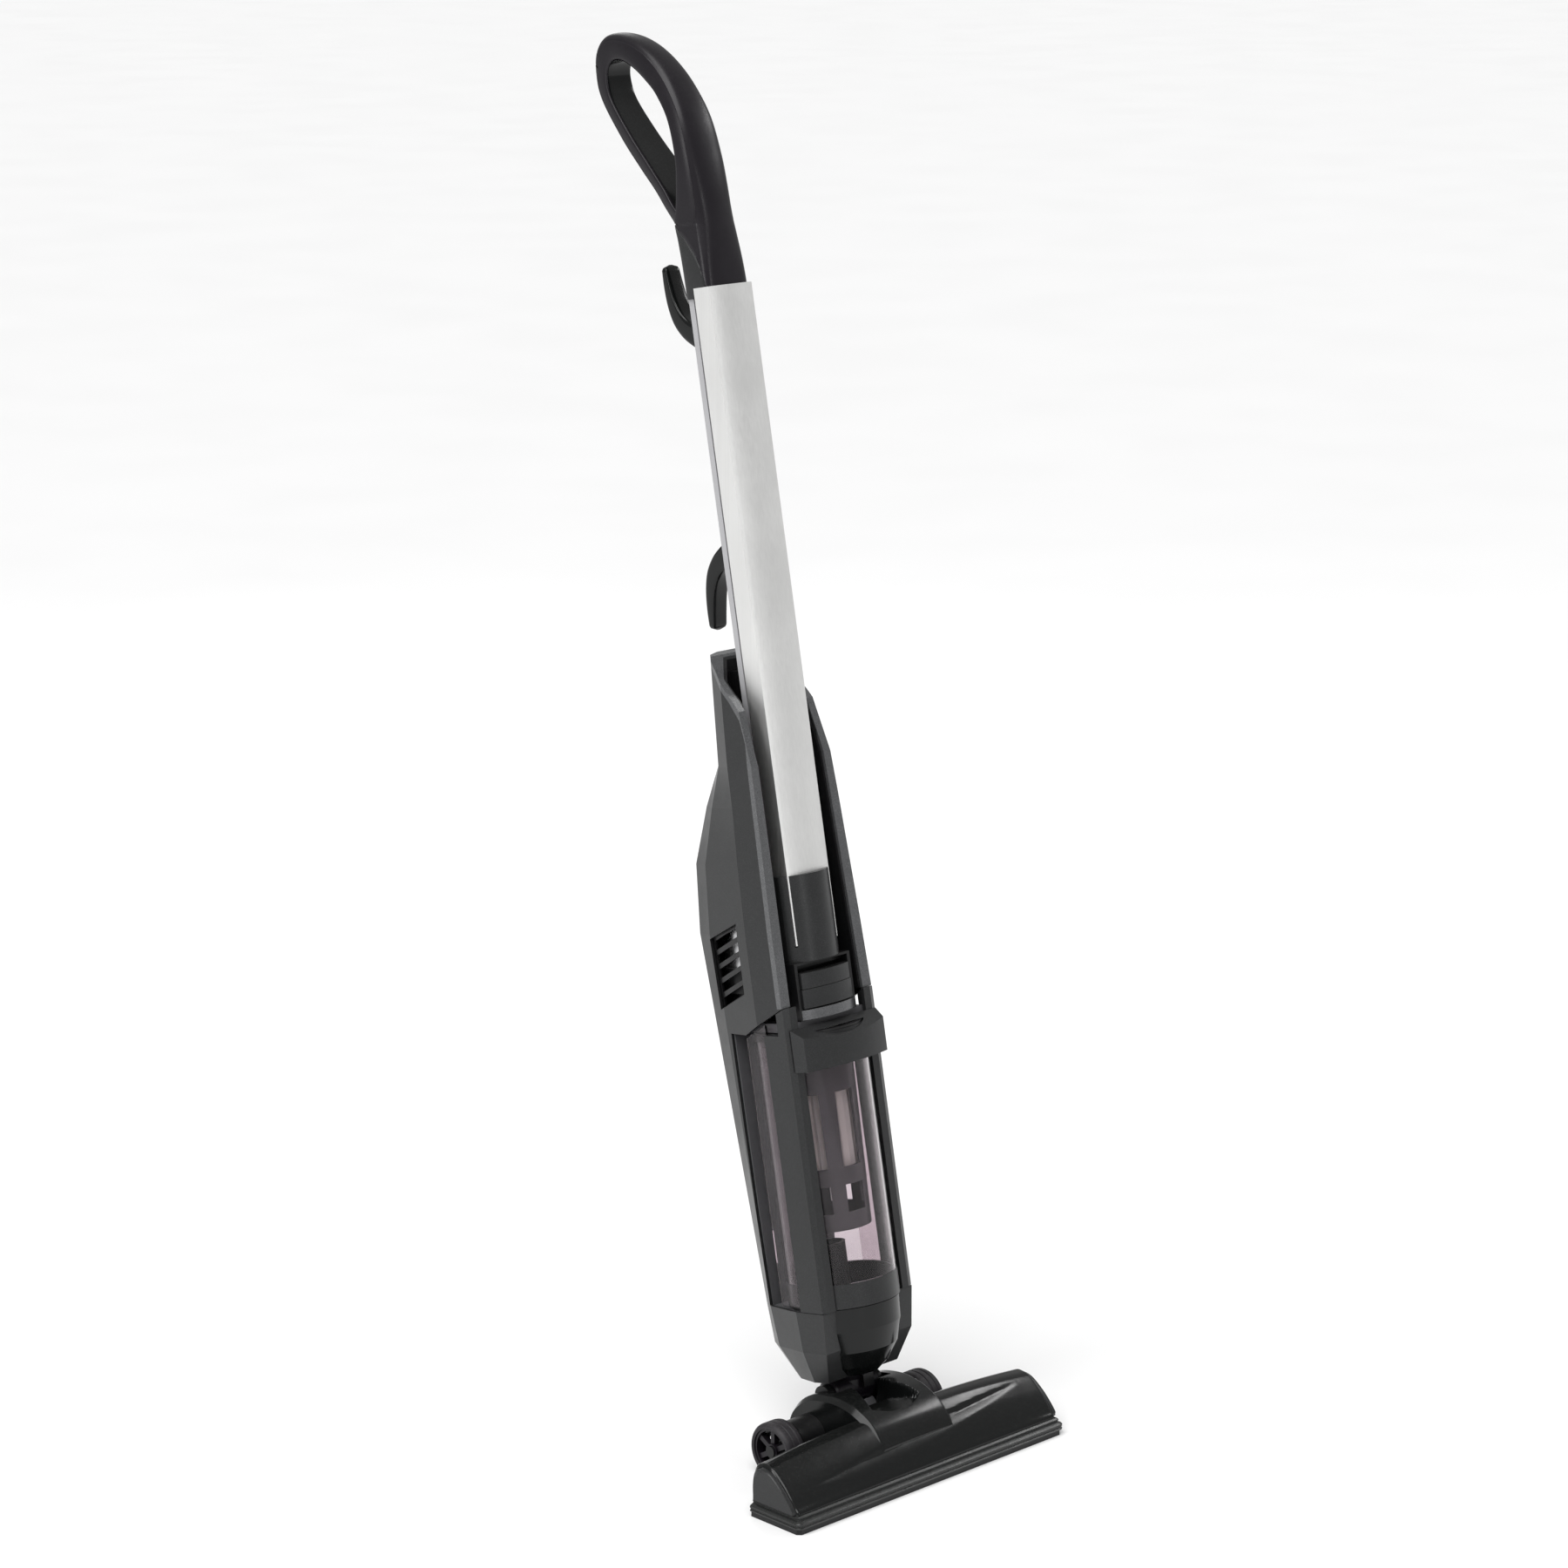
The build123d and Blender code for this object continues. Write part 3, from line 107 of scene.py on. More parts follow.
def make_object(name, verts, faces, sharp=40.0):
    """Mesh object at the origin, its faces turned outward, smooth except past the sharp angle."""
    mesh = bpy.data.meshes.new(name)
    mesh.from_pydata(verts.reshape(-1, 3).tolist(), [], faces)
    mesh.update()
    mesh.calc_loop_triangles()
    tris = np.empty(len(mesh.loop_triangles) * 3, np.int32)
    mesh.loop_triangles.foreach_get("vertices", tris)
    corner = verts.reshape(-1, 3)[tris.reshape(-1, 3)]
    volume = np.einsum("ij,ij->", corner[:, 0], np.cross(corner[:, 1], corner[:, 2]))
    if volume < 0:
        mesh.flip_normals()
    mesh.polygons.foreach_set("use_smooth", [True] * len(mesh.polygons))
    mesh.set_sharp_from_angle(angle=math.radians(sharp))
    obj = bpy.data.objects.new(name, mesh)
    bpy.context.scene.collection.objects.link(obj)
    return obj


def sweep(name, grid, wrap_rows=False, sharp=40.0):
    """Closed skin over a grid of section loops: rows run along the piece, columns round it."""
    rows, columns = grid.shape[:2]
    faces = grid_faces(rows, columns, wrap_rows, True)
    if not wrap_rows:
        faces.append(list(range(columns)))
        faces.append([(rows - 1) * columns + i for i in reversed(range(columns))])
    return make_object(name, grid, faces, sharp)


def joined(objects):
    """Vertices of each object and the faces of all, numbered as one mesh; the objects are removed."""
    verts, faces, base = [], [], 0
    for obj in objects:
        count = len(obj.data.vertices)
        co = np.empty(count * 3)
        obj.data.vertices.foreach_get("co", co)
        verts.append(co.reshape(-1, 3))
        faces += [[base + i for i in face.vertices] for face in obj.data.polygons]
        base += count
        bpy.data.objects.remove(obj)
    return verts, faces


def fit_piece(obj, body, material, slot, *nodes):
    """Gives a piece its finish, ties it to its body and hides the nodes it stands for; the record slot it is
    given is not used.
    """
    obj.data.materials.clear()
    obj.data.materials.append(material)
    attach(obj, body)
    if nodes:
        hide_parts(*nodes)
    return obj


# ---------------------------------------------------------------- shader groups and finishes
def new_group(name, inputs, outputs):
    """Empty shader node group with its named sockets."""
    group = bpy.data.node_groups.new(name, "ShaderNodeTree")
    for label, kind, default in inputs:
        socket = group.interface.new_socket(label, in_out="INPUT", socket_type=kind)
        if default is not None:
            socket.default_value = default
    for label, kind in outputs:
        group.interface.new_socket(label, in_out="OUTPUT", socket_type=kind)
    nodes = group.nodes
    return group, nodes.new("NodeGroupInput"), nodes.new("NodeGroupOutput")


def node(tree, kind, inputs=None, **settings):
    """New node with its settings and inputs; an input is a plain value or another node's output."""
    made = tree.nodes.new(kind)
    for key, value in settings.items():
        setattr(made, key, value)
    for key, value in (inputs or {}).items():
        socket = made.inputs[key]
        if isinstance(value, bpy.types.NodeSocket):
            tree.links.new(value, socket)
        else:
            socket.default_value = value
    return made


def ramp(tree, source, low, high, to_low, to_high):
    """Smooth Map Range between two values."""
    made = node(tree, "ShaderNodeMapRange", {"Value": source, "From Min": low, "From Max": high,
                                             "To Min": to_low, "To Max": to_high},
                interpolation_type="SMOOTHSTEP")
    return made.outputs["Result"]


def build_moulded_group():
    """Moulded plastic: fine grain bump, slow waviness, and roughness and shade that vary over both."""
    group, entry, leave = new_group(
        "moulded_grain",
        [("Shade", "NodeSocketColor", (0.1, 0.1, 0.1, 1)), ("Grain Scale", "NodeSocketFloat", 900.0),
         ("Grain Depth", "NodeSocketFloat", 0.05), ("Smooth", "NodeSocketFloat", 0.25),
         ("Rough", "NodeSocketFloat", 0.35), ("Shade Change", "NodeSocketFloat", 0.06)],
        [("Colour", "NodeSocketColor"), ("Roughness", "NodeSocketFloat"), ("Normal", "NodeSocketVector")])
    place = node(group, "ShaderNodeTexCoord").outputs["Object"]
    fine = node(group, "ShaderNodeTexNoise", {"Vector": place, "Scale": entry.outputs["Grain Scale"],
                                              "Detail": 3.0, "Roughness": 0.6}).outputs["Fac"]
    slow = node(group, "ShaderNodeTexNoise", {"Vector": place, "Scale": 22.0, "Detail": 4.0,
                                              "Roughness": 0.55}).outputs["Fac"]
    wipe = node(group, "ShaderNodeTexNoise", {"Vector": place, "Scale": 70.0, "Detail": 6.0, "Roughness": 0.7,
                                              "Distortion": 0.3}).outputs["Fac"]
    blend = node(group, "ShaderNodeMath", {0: slow, 1: wipe}, operation="MULTIPLY").outputs[0]
    gap = node(group, "ShaderNodeMath", {0: entry.outputs["Rough"], 1: entry.outputs["Smooth"]},
               operation="SUBTRACT").outputs[0]
    share = ramp(group, blend, 0.12, 0.42, 0.0, 1.0)
    rough = node(group, "ShaderNodeMath", {0: gap, 1: share, 2: entry.outputs["Smooth"]},
                 operation="MULTIPLY_ADD").outputs[0]
    change = node(group, "ShaderNodeMath", {0: share, 1: entry.outputs["Shade Change"], 2: 1.0},
                  operation="MULTIPLY_ADD").outputs[0]
    tint = node(group, "ShaderNodeVectorMath", {0: entry.outputs["Shade"]}, operation="SCALE")
    group.links.new(change, tint.inputs["Scale"])
    bump = node(group, "ShaderNodeBump", {"Strength": entry.outputs["Grain Depth"], "Distance": 0.0002,
                                          "Height": fine}).outputs["Normal"]
    group.links.new(tint.outputs["Vector"], leave.inputs["Colour"])
    group.links.new(rough, leave.inputs["Roughness"])
    group.links.new(bump, leave.inputs["Normal"])
    return group


def build_flake_group():
    """Metallic flake: small cells with their own brightness and tilt, denser on a slow cloud."""
    group, entry, leave = new_group(
        "metal_flake",
        [("Shade", "NodeSocketColor", (0.1, 0.1, 0.1, 1)), ("Flake", "NodeSocketColor", (0.3, 0.3, 0.3, 1)),
         ("Flake Scale", "NodeSocketFloat", 3200.0), ("Share", "NodeSocketFloat", 0.35)],
        [("Colour", "NodeSocketColor"), ("Mask", "NodeSocketFloat"), ("Normal", "NodeSocketVector")])
    place = node(group, "ShaderNodeTexCoord").outputs["Object"]
    cells = node(group, "ShaderNodeTexVoronoi", {"Vector": place, "Scale": entry.outputs["Flake Scale"]},
                 feature="F1")
    bright = node(group, "ShaderNodeSeparateColor", {"Color": cells.outputs["Color"]}).outputs["Red"]
    glint = ramp(group, bright, 0.55, 1.0, 0.0, 1.0)
    cloud = node(group, "ShaderNodeTexNoise", {"Vector": place, "Scale": 60.0, "Detail": 5.0}).outputs["Fac"]
    density = ramp(group, cloud, 0.35, 0.65, 0.75, 1.0)
    mask = node(group, "ShaderNodeMath", {0: glint, 1: density}, operation="MULTIPLY").outputs[0]
    amount = node(group, "ShaderNodeMath", {0: mask, 1: entry.outputs["Share"]},
                  operation="MULTIPLY").outputs[0]
    mix = node(group, "ShaderNodeMix", data_type="RGBA")
    group.links.new(amount, mix.inputs[0])
    group.links.new(entry.outputs["Shade"], mix.inputs[6])
    group.links.new(entry.outputs["Flake"], mix.inputs[7])
    bump = node(group, "ShaderNodeBump", {"Strength": 0.02, "Distance": 0.00005, "Height": bright})
    group.links.new(mix.outputs[2], leave.inputs["Colour"])
    group.links.new(mask, leave.inputs["Mask"])
    group.links.new(bump.outputs["Normal"], leave.inputs["Normal"])
    return group


def build_dust_group():
    """Light dust: settles on faces that look up, broken by one fine noise."""
    group, entry, leave = new_group(
        "light_dust",
        [("Colour", "NodeSocketColor", (0.1, 0.1, 0.1, 1)), ("Roughness", "NodeSocketFloat", 0.3),
         ("Amount", "NodeSocketFloat", 0.05)],
        [("Colour", "NodeSocketColor"), ("Roughness", "NodeSocketFloat")])
    place = node(group, "ShaderNodeTexCoord").outputs["Object"]
    facing = node(group, "ShaderNodeNewGeometry").outputs["Normal"]
    up = node(group, "ShaderNodeSeparateXYZ", {0: facing}).outputs["Z"]
    lit = ramp(group, up, 0.2, 1.0, 0.0, 1.0)
    speck = node(group, "ShaderNodeTexNoise", {"Vector": place, "Scale": 420.0, "Detail": 6.0,
                                               "Roughness": 0.75}).outputs["Fac"]
    patch = ramp(group, speck, 0.45, 0.75, 0.2, 1.0)
    amount = node(group, "ShaderNodeMath", {0: lit, 1: patch}, operation="MULTIPLY").outputs[0]
    amount = node(group, "ShaderNodeMath", {0: amount, 1: entry.outputs["Amount"]},
                  operation="MULTIPLY").outputs[0]
    mix = node(group, "ShaderNodeMix", data_type="RGBA")
    group.links.new(amount, mix.inputs[0])
    group.links.new(entry.outputs["Colour"], mix.inputs[6])
    mix.inputs[7].default_value = (0.42, 0.41, 0.39, 1)
    rough = node(group, "ShaderNodeMath", {0: amount, 1: 0.8, 2: entry.outputs["Roughness"]},
                 operation="MULTIPLY_ADD").outputs[0]
    group.links.new(mix.outputs[2], leave.inputs["Colour"])
    group.links.new(rough, leave.inputs["Roughness"])
    return group


def start_material(name):
    """New node material; returns it with its tree and its Principled shader."""
    material = bpy.data.materials.new(name)
    material.use_nodes = True
    tree = material.node_tree
    return material, tree, tree.nodes["Principled BSDF"]


def place_group(tree, group, **values):
    made = tree.nodes.new("ShaderNodeGroup")
    made.node_tree = group
    for key, value in values.items():
        made.inputs[key.replace("_", " ")].default_value = value
    return made


def rgba(colour):
    return (colour[0], colour[1], colour[2], 1.0)


def moulded_plastic(name, groups, colour, smooth, rough, grain=0.05, shine=0.4, dust=0.03):
    """Plain moulded plastic with grain, uneven polish and a trace of dust."""
    material, tree, shader = start_material(name)
    grained = place_group(tree, groups["moulded"], Shade=rgba(colour), Smooth=smooth, Rough=rough,
                          Grain_Depth=grain)
    dusty = place_group(tree, groups["dust"], Amount=dust)
    tree.links.new(grained.outputs["Colour"], dusty.inputs["Colour"])
    tree.links.new(grained.outputs["Roughness"], dusty.inputs["Roughness"])
    tree.links.new(dusty.outputs["Colour"], shader.inputs["Base Color"])
    tree.links.new(dusty.outputs["Roughness"], shader.inputs["Roughness"])
    tree.links.new(grained.outputs["Normal"], shader.inputs["Normal"])
    shader.inputs["Specular IOR Level"].default_value = shine
    return material


def flake_plastic(name, groups, colour, flake, smooth, rough, share, shine, metallic):
    """Shell plastic with metal flake under a clear skin."""
    material, tree, shader = start_material(name)
    grained = place_group(tree, groups["moulded"], Shade=rgba(colour), Smooth=smooth, Rough=rough,
                          Grain_Depth=0.02, Shade_Change=0.05)
    flaked = place_group(tree, groups["flake"], Flake=rgba(flake), Share=share)
    dusty = place_group(tree, groups["dust"], Amount=0.03)
    tree.links.new(grained.outputs["Colour"], flaked.inputs["Shade"])
    tree.links.new(flaked.outputs["Colour"], dusty.inputs["Colour"])
    tree.links.new(grained.outputs["Roughness"], dusty.inputs["Roughness"])
    tree.links.new(dusty.outputs["Colour"], shader.inputs["Base Color"])
    tree.links.new(dusty.outputs["Roughness"], shader.inputs["Roughness"])
    tree.links.new(flaked.outputs["Normal"], shader.inputs["Normal"])
    shader.inputs["Metallic"].default_value = metallic
    shader.inputs["Specular IOR Level"].default_value = shine
    return material


def drawn_metal(name, groups, colour, smooth, rough, along, stretch, bump):
    """Drawn or extruded metal: noise stretched along one axis of the leaning stick."""
    material, tree, shader = start_material(name)
    place = node(tree, "ShaderNodeTexCoord").outputs["Object"]
    turn = node(tree, "ShaderNodeMapping", {"Vector": place, "Rotation": (LEAN, 0, 0), "Scale": stretch})
    lines = node(tree, "ShaderNodeTexNoise", {"Vector": turn.outputs["Vector"], "Scale": along, "Detail": 5.0,
                                              "Roughness": 0.65}).outputs["Fac"]
    cloud = node(tree, "ShaderNodeTexNoise", {"Vector": place, "Scale": 9.0, "Detail": 3.0}).outputs["Fac"]
    both = node(tree, "ShaderNodeMath", {0: lines, 1: cloud}, operation="MULTIPLY").outputs[0]
    tree.links.new(ramp(tree, both, 0.1, 0.42, smooth, rough), shader.inputs["Roughness"])
    mix = node(tree, "ShaderNodeMix", data_type="RGBA")
    tree.links.new(ramp(tree, both, 0.1, 0.42, 0.0, 1.0), mix.inputs[0])
    mix.inputs[6].default_value = rgba([c * 0.93 for c in colour])
    mix.inputs[7].default_value = rgba(colour)
    dusty = place_group(tree, groups["dust"], Amount=0.03)
    tree.links.new(mix.outputs[2], dusty.inputs["Colour"])
    tree.links.new(dusty.outputs["Colour"], shader.inputs["Base Color"])
    relief = node(tree, "ShaderNodeBump", {"Strength": bump, "Distance": 0.0001, "Height": lines})
    tree.links.new(relief.outputs["Normal"], shader.inputs["Normal"])
    shader.inputs["Metallic"].default_value = 1.0
    return material


def smoked_plastic(name, colour, rough):
    """Clear tinted plastic, with its colour a little uneven and a very fine ripple."""
    material, tree, shader = start_material(name)
    place = node(tree, "ShaderNodeTexCoord").outputs["Object"]
    cloud = node(tree, "ShaderNodeTexNoise", {"Vector": place, "Scale": 12.0, "Detail": 4.0}).outputs["Fac"]
    mix = node(tree, "ShaderNodeMix", data_type="RGBA")
    tree.links.new(ramp(tree, cloud, 0.3, 0.7, 0.0, 1.0), mix.inputs[0])
    mix.inputs[6].default_value = rgba(colour)
    mix.inputs[7].default_value = rgba([c * 0.9 for c in colour])
    tree.links.new(mix.outputs[2], shader.inputs["Base Color"])
    ripple = node(tree, "ShaderNodeTexNoise", {"Vector": place, "Scale": 160.0, "Detail": 2.0}).outputs["Fac"]
    relief = node(tree, "ShaderNodeBump", {"Strength": 0.02, "Distance": 0.0002, "Height": ripple})
    tree.links.new(relief.outputs["Normal"], shader.inputs["Normal"])
    shader.inputs["Roughness"].default_value = rough
    shader.inputs["Transmission Weight"].default_value = 1.0
    shader.inputs["IOR"].default_value = 1.3
    return material


def build_finishes(settings):
    """Every finish by its record slot name."""
    groups = {"moulded": build_moulded_group(), "flake": build_flake_group(), "dust": build_dust_group()}
    shell = settings.shell_colour
    plum = settings.accent_colour
    return {
        "gloss_black": moulded_plastic("gloss black", groups, (0.0035, 0.004, 0.004), 0.14, 0.2, grain=0.01,
                                       shine=0.3),
        "shell_grey": flake_plastic("shell grey flake", groups, shell, [c * 3.4 for c in shell], 0.3, 0.38,
                                    0.4, 0.4,
                                    0.3),
        "accent_plum": flake_plastic("plum black", groups, plum, [c * 2.4 for c in plum], 0.3, 0.38, 0.2,
                                     0.35, 0.1),
        "liner_black": moulded_plastic("liner black", groups, (0.006, 0.006, 0.0065), 0.3, 0.4, grain=0.04,
                                       shine=0.3),
        "inner_grey": moulded_plastic("inner grey", groups, (0.09, 0.09, 0.095), 0.35, 0.5, grain=0.06),
        "smoke_clear": smoked_plastic("smoke clear", settings.smoke_colour, 0.04),
        "silver_tube": drawn_metal("silver tube", groups, settings.tube_colour, 0.42, 0.5, 700.0,
                                   (1, 1, 0.004), 0.02),
        "light_strip": moulded_plastic("light strip", groups, (0.36, 0.36, 0.37), 0.3, 0.4, grain=0.04),
        "silver_trim": flake_plastic("trim grey", groups, (0.09, 0.092, 0.095), (0.3, 0.3, 0.31), 0.24, 0.32,
                                     0.4, 0.5,
                                     0.5),
        "tyre_rubber": moulded_plastic("tyre rubber", groups, (0.01, 0.008, 0.011), 0.5, 0.65, grain=0.2,
                                       dust=0.1),
        "band_rubber": flake_plastic("band grey", groups, (0.018, 0.019, 0.0185), (0.06, 0.06, 0.06), 0.24,
                                     0.3, 0.25,
                                     0.45, 0.25),
        "bristle": moulded_plastic("bristle", groups, (0.02, 0.02, 0.024), 0.45, 0.7, grain=0.2),
        "steel": drawn_metal("steel", groups, (0.56, 0.56, 0.57), 0.22, 0.4, 900.0, (0.1, 1, 1), 0.1),
        "filter_white": moulded_plastic("filter paper", groups, (0.78, 0.77, 0.73), 0.8, 0.95, grain=0.5),
        "cell_green": moulded_plastic("cell wrap", groups, (0.05, 0.2, 0.16), 0.3, 0.45, grain=0.05),
    }


def finish(name):
    return bpy.data.materials[FINISH_NAMES[name]]


FINISH_NAMES = {}


# ---------------------------------------------------------------- handle
# Stations along the grip, from the tube up the front leg, over the top and down the rear leg:
# front and level of the outer line, front and level of the inner line, half width, share of the
# depth where the shells meet, and how far the section has turned from round to faceted.
GRIP_STATIONS = np.array([
    (15.0, 923.6, -15.0, 923.6, 22.3, 0.17, 0.00),
    (14.9, 938.0, -15.4, 938.0, 22.1, 0.22, 0.05),
    (14.7, 952.0, -15.9, 953.0, 21.9, 0.36, 0.25),
    (14.4, 967.0, -17.0, 969.0, 21.6, 0.66, 0.60),
    (14.0, 980.0, -18.5, 983.0, 21.3, 1.00, 0.85),
    (13.4, 992.0, -15.5, 992.0, 21.0, 1.00, 1.00),
    (12.0, 1010.0, -11.5, 1010.0, 20.6, 1.00, 1.00),
    (9.0, 1032.0, -8.8, 1032.0, 20.0, 1.00, 1.00),
    (4.0, 1060.0, -13.0, 1061.0, 18.6, 1.00, 1.00),
    (-6.0, 1085.0, -24.0, 1082.0, 16.9, 1.00, 1.00),
    (-20.0, 1106.0, -36.0, 1095.0, 15.3, 1.00, 1.00),
    (-38.0, 1122.5, -49.0, 1106.0, 13.9, 1.00, 0.90),
    (-59.0, 1133.2, -62.0, 1113.5, 13.0, 1.00, 0.75),
    (-79.5, 1136.3, -73.0, 1115.0, 12.7, 1.00, 0.60),
    (-92.5, 1127.0, -80.0, 1109.0, 13.0, 1.00, 0.50),
    (-96.8, 1110.0, -81.5, 1098.0, 13.5, 0.30, 0.50),
    (-93.5, 1088.0, -77.5, 1083.0, 14.2, 0.26, 0.50),
    (-75.0, 1055.0, -60.0, 1055.0, 15.6, 0.26, 0.50),
    (-57.0, 1030.0, -42.5, 1031.0, 16.8, 0.26, 0.50),
    (-42.0, 1011.0, -28.0, 1011.0, 17.8, 0.27, 0.50),
    (-31.0, 994.5, -17.0, 994.0, 18.6, 0.30, 0.50),
    (-21.0, 977.0, -4.0, 981.0, 18.0, 0.34, 0.50),
])
LEG_TOP = 15
# Half sections from the outer middle to the inner middle: depth from 1 to -1 and share of the width.
ROUND_HALF = np.array([(1, 0), (0.99, 0.35), (0.94, 0.66), (0.82, 0.87), (0.6, 0.97), (0.2, 1), (-0.4, 1),
                       (-0.8, 0.97),
                       (-0.95, 0.9), (-1, 0.7), (-1, 0)])
FACET_HALF = np.array([(1, 0), (0.975, 0.30), (0.89, 0.56), (0.74, 0.75), (0.50, 0.88), (0.46, 0.892),
                       (0.0, 0.955),
                       (-0.74, 1), (-0.94, 0.95), (-1, 0.78), (-1, 0)])


def grip_lines(count):
    """Smooth station values along the grip: each column of the table through the Catmull-Rom curve,
    with the share and the facet kept between nothing and all."""
    line = spline_through(GRIP_STATIONS, count)
    line[:, 5:] = np.clip(line[:, 5:], 0, 1)
    return line


def smooth_half(corners):
    """Half section with its corners joined by a Catmull-Rom curve, kept inside its own bounds."""
    whole = np.vstack([corners[1:2] * (1, -1), corners, corners[-2:-1] * (1, -1)])
    line = spline_through(whole, 12 * (len(whole) - 1) + 1)[12:-12]
    return np.linspace(0, 1, len(line)), line


ROUND_TURNS, ROUND_LINE = smooth_half(ROUND_HALF)
FACET_TURNS, FACET_LINE = smooth_half(FACET_HALF)


def half_section(table, turn):
    """Depth and width at a share of the way round: the round and the faceted half section, mixed
    by the station's last value."""
    mix = table[:, 6][:, None]
    halves = []
    for column in (0, 1):
        soft = np.interp(turn, ROUND_TURNS, ROUND_LINE[:, column])
        hard = np.interp(turn, FACET_TURNS, FACET_LINE[:, column])
        halves.append((1 - mix) * soft + mix * hard)
    return halves


def seam_turn(table):
    """Share of the way round at which the depth has fallen to the shells' seam."""
    turn = np.linspace(0, 1, 201)[None, :]
    depth = half_section(table, turn)[0]
    target = 1 - 2 * table[:, 5][:, None]
    return np.where(target[:, 0] <= -0.999, 1.0, np.argmax(depth <= target, axis=1) / 200.0)


def grip_section(table, turn, swell=0.0, widen=1.0):
    """Point of the grip's skin: the middle of the outer and inner points, plus the depth along the
    line between them and the width across it, each pushed out by swell; a turn beyond 1 or below 0
    is the other side's mirror image."""
    folded = np.abs((turn + 1) % 2 - 1)
    side = np.where((turn % 2) <= 1, 1.0, -1.0)
    outer, inner = table[:, 0:2], table[:, 2:4]
    middle, reach = (outer + inner) / 2, (outer - inner) / 2
    length = np.linalg.norm(reach, axis=1)
    depth, width = half_section(table, folded)
    scale = ((length + swell) / length)[:, None]
    front = middle[:, 0][:, None] + depth * reach[:, 0][:, None] * scale
    level = middle[:, 1][:, None] + depth * reach[:, 1][:, None] * scale
    across = side * width * (table[:, 4][:, None] + swell) * widen
    return stand(across, front, level)


def shell_strip(name, table, low, high):
    """Closed strip of the skin between two turns, its two edges tucked in by half a millimetre."""
    v = np.linspace(0, 1, 65)[None, :]
    turn = low[:, None] + (high - low)[:, None] * v
    skin = grip_section(table, turn)
    tucked = grip_section(table, turn, swell=-0.5)
    return sweep(name, np.where(((v < 0.01) | (v > 0.99))[..., None], tucked, skin), sharp=24)


def make_grip_front(name):
    """Front shell: the arc on the outer side of the seam up the front leg, the whole section over
    the top, and the inner part of the rear leg's section down to the foot of the opening."""
    table = grip_lines(190)
    share = np.linspace(0, len(GRIP_STATIONS) - 1, 190)
    upper, lower = table[share < LEG_TOP - 0.4], table[share > LEG_TOP - 1.2]
    lower[:, 5] = np.minimum(lower[:, 5], 0.34)
    edge, rear_edge = seam_turn(upper), seam_turn(lower)
    parts = [shell_strip(name + "_loop", upper, -edge, edge),
             shell_strip(name + "_leg", lower, rear_edge, 2 - rear_edge)]
    verts, faces = joined(parts)
    return make_object(name, np.vstack(verts), faces, 24)


def make_grip_rear(name):
    """Rear shell: the back of the foot up to where the seam reaches the opening, and the thin skin
    down the rear leg's back."""
    table = grip_lines(190)
    share = np.linspace(0, len(GRIP_STATIONS) - 1, 190)
    foot, leg = table[share < 3.9], table[share > LEG_TOP - 0.42]
    edge, rear_edge = seam_turn(foot), seam_turn(leg)
    parts = [shell_strip(name + "_foot", foot, edge, 2 - edge),
             shell_strip(name + "_skin", leg, -rear_edge, rear_edge)]
    verts, faces = joined(parts)
    return make_object(name, np.vstack(verts), faces, 24)


def make_grip_lining(name):
    """Gloss band inside the finger opening: a crescent between the section's inner arc pushed out a
    little and the same arc drawn in, carried from the front leg to the foot of the rear leg."""
    table = grip_lines(200)[44:194]
    turn = 1 + np.linspace(-1, 1, 25)[None, :] * 0.155 + np.zeros((150, 1))
    proud = grip_section(table, turn, swell=0.35, widen=0.97)
    sunk = grip_section(table, turn, swell=-1.6, widen=0.9)[:, ::-1]
    return sweep(name, np.concatenate([proud, sunk], axis=1))


# ---------------------------------------------------------------- floor head
def head_section(x, inset):
    """Outline of the head's cover at each x, from the rear foot over the ridge to the front foot: two
    straight sides joined by Catmull-Rom curves through the ridge, all drawn in by inset."""
    top = 51.2 - 7.2 * (np.abs(x) / 148.0) ** 2.2 - inset
    rear, front = 13.0 - inset, -36.5 + inset
    ones = np.ones_like(x)
    knots = [(rear * ones, 4.5 * ones), (rear * ones, 16 * ones), (rear * ones, top - 13),
             (rear - 2.4, top - 4.2),
             (rear - 8.0 + 0 * x, top - 0.6), (ones * 0.5, top), (-8 * ones, top - 1.8),
             (-19 * ones, top * 0.775),
             (-27.5 * ones, top * 0.58), (-33 * ones, top * 0.42), (front * ones, 14.5 * ones),
             (front * ones, 4.5 * ones)]
    knots = [np.stack(np.broadcast_arrays(np.asarray(a, float), b), axis=-1) for a, b in knots]
    return np.stack(knots, axis=1)


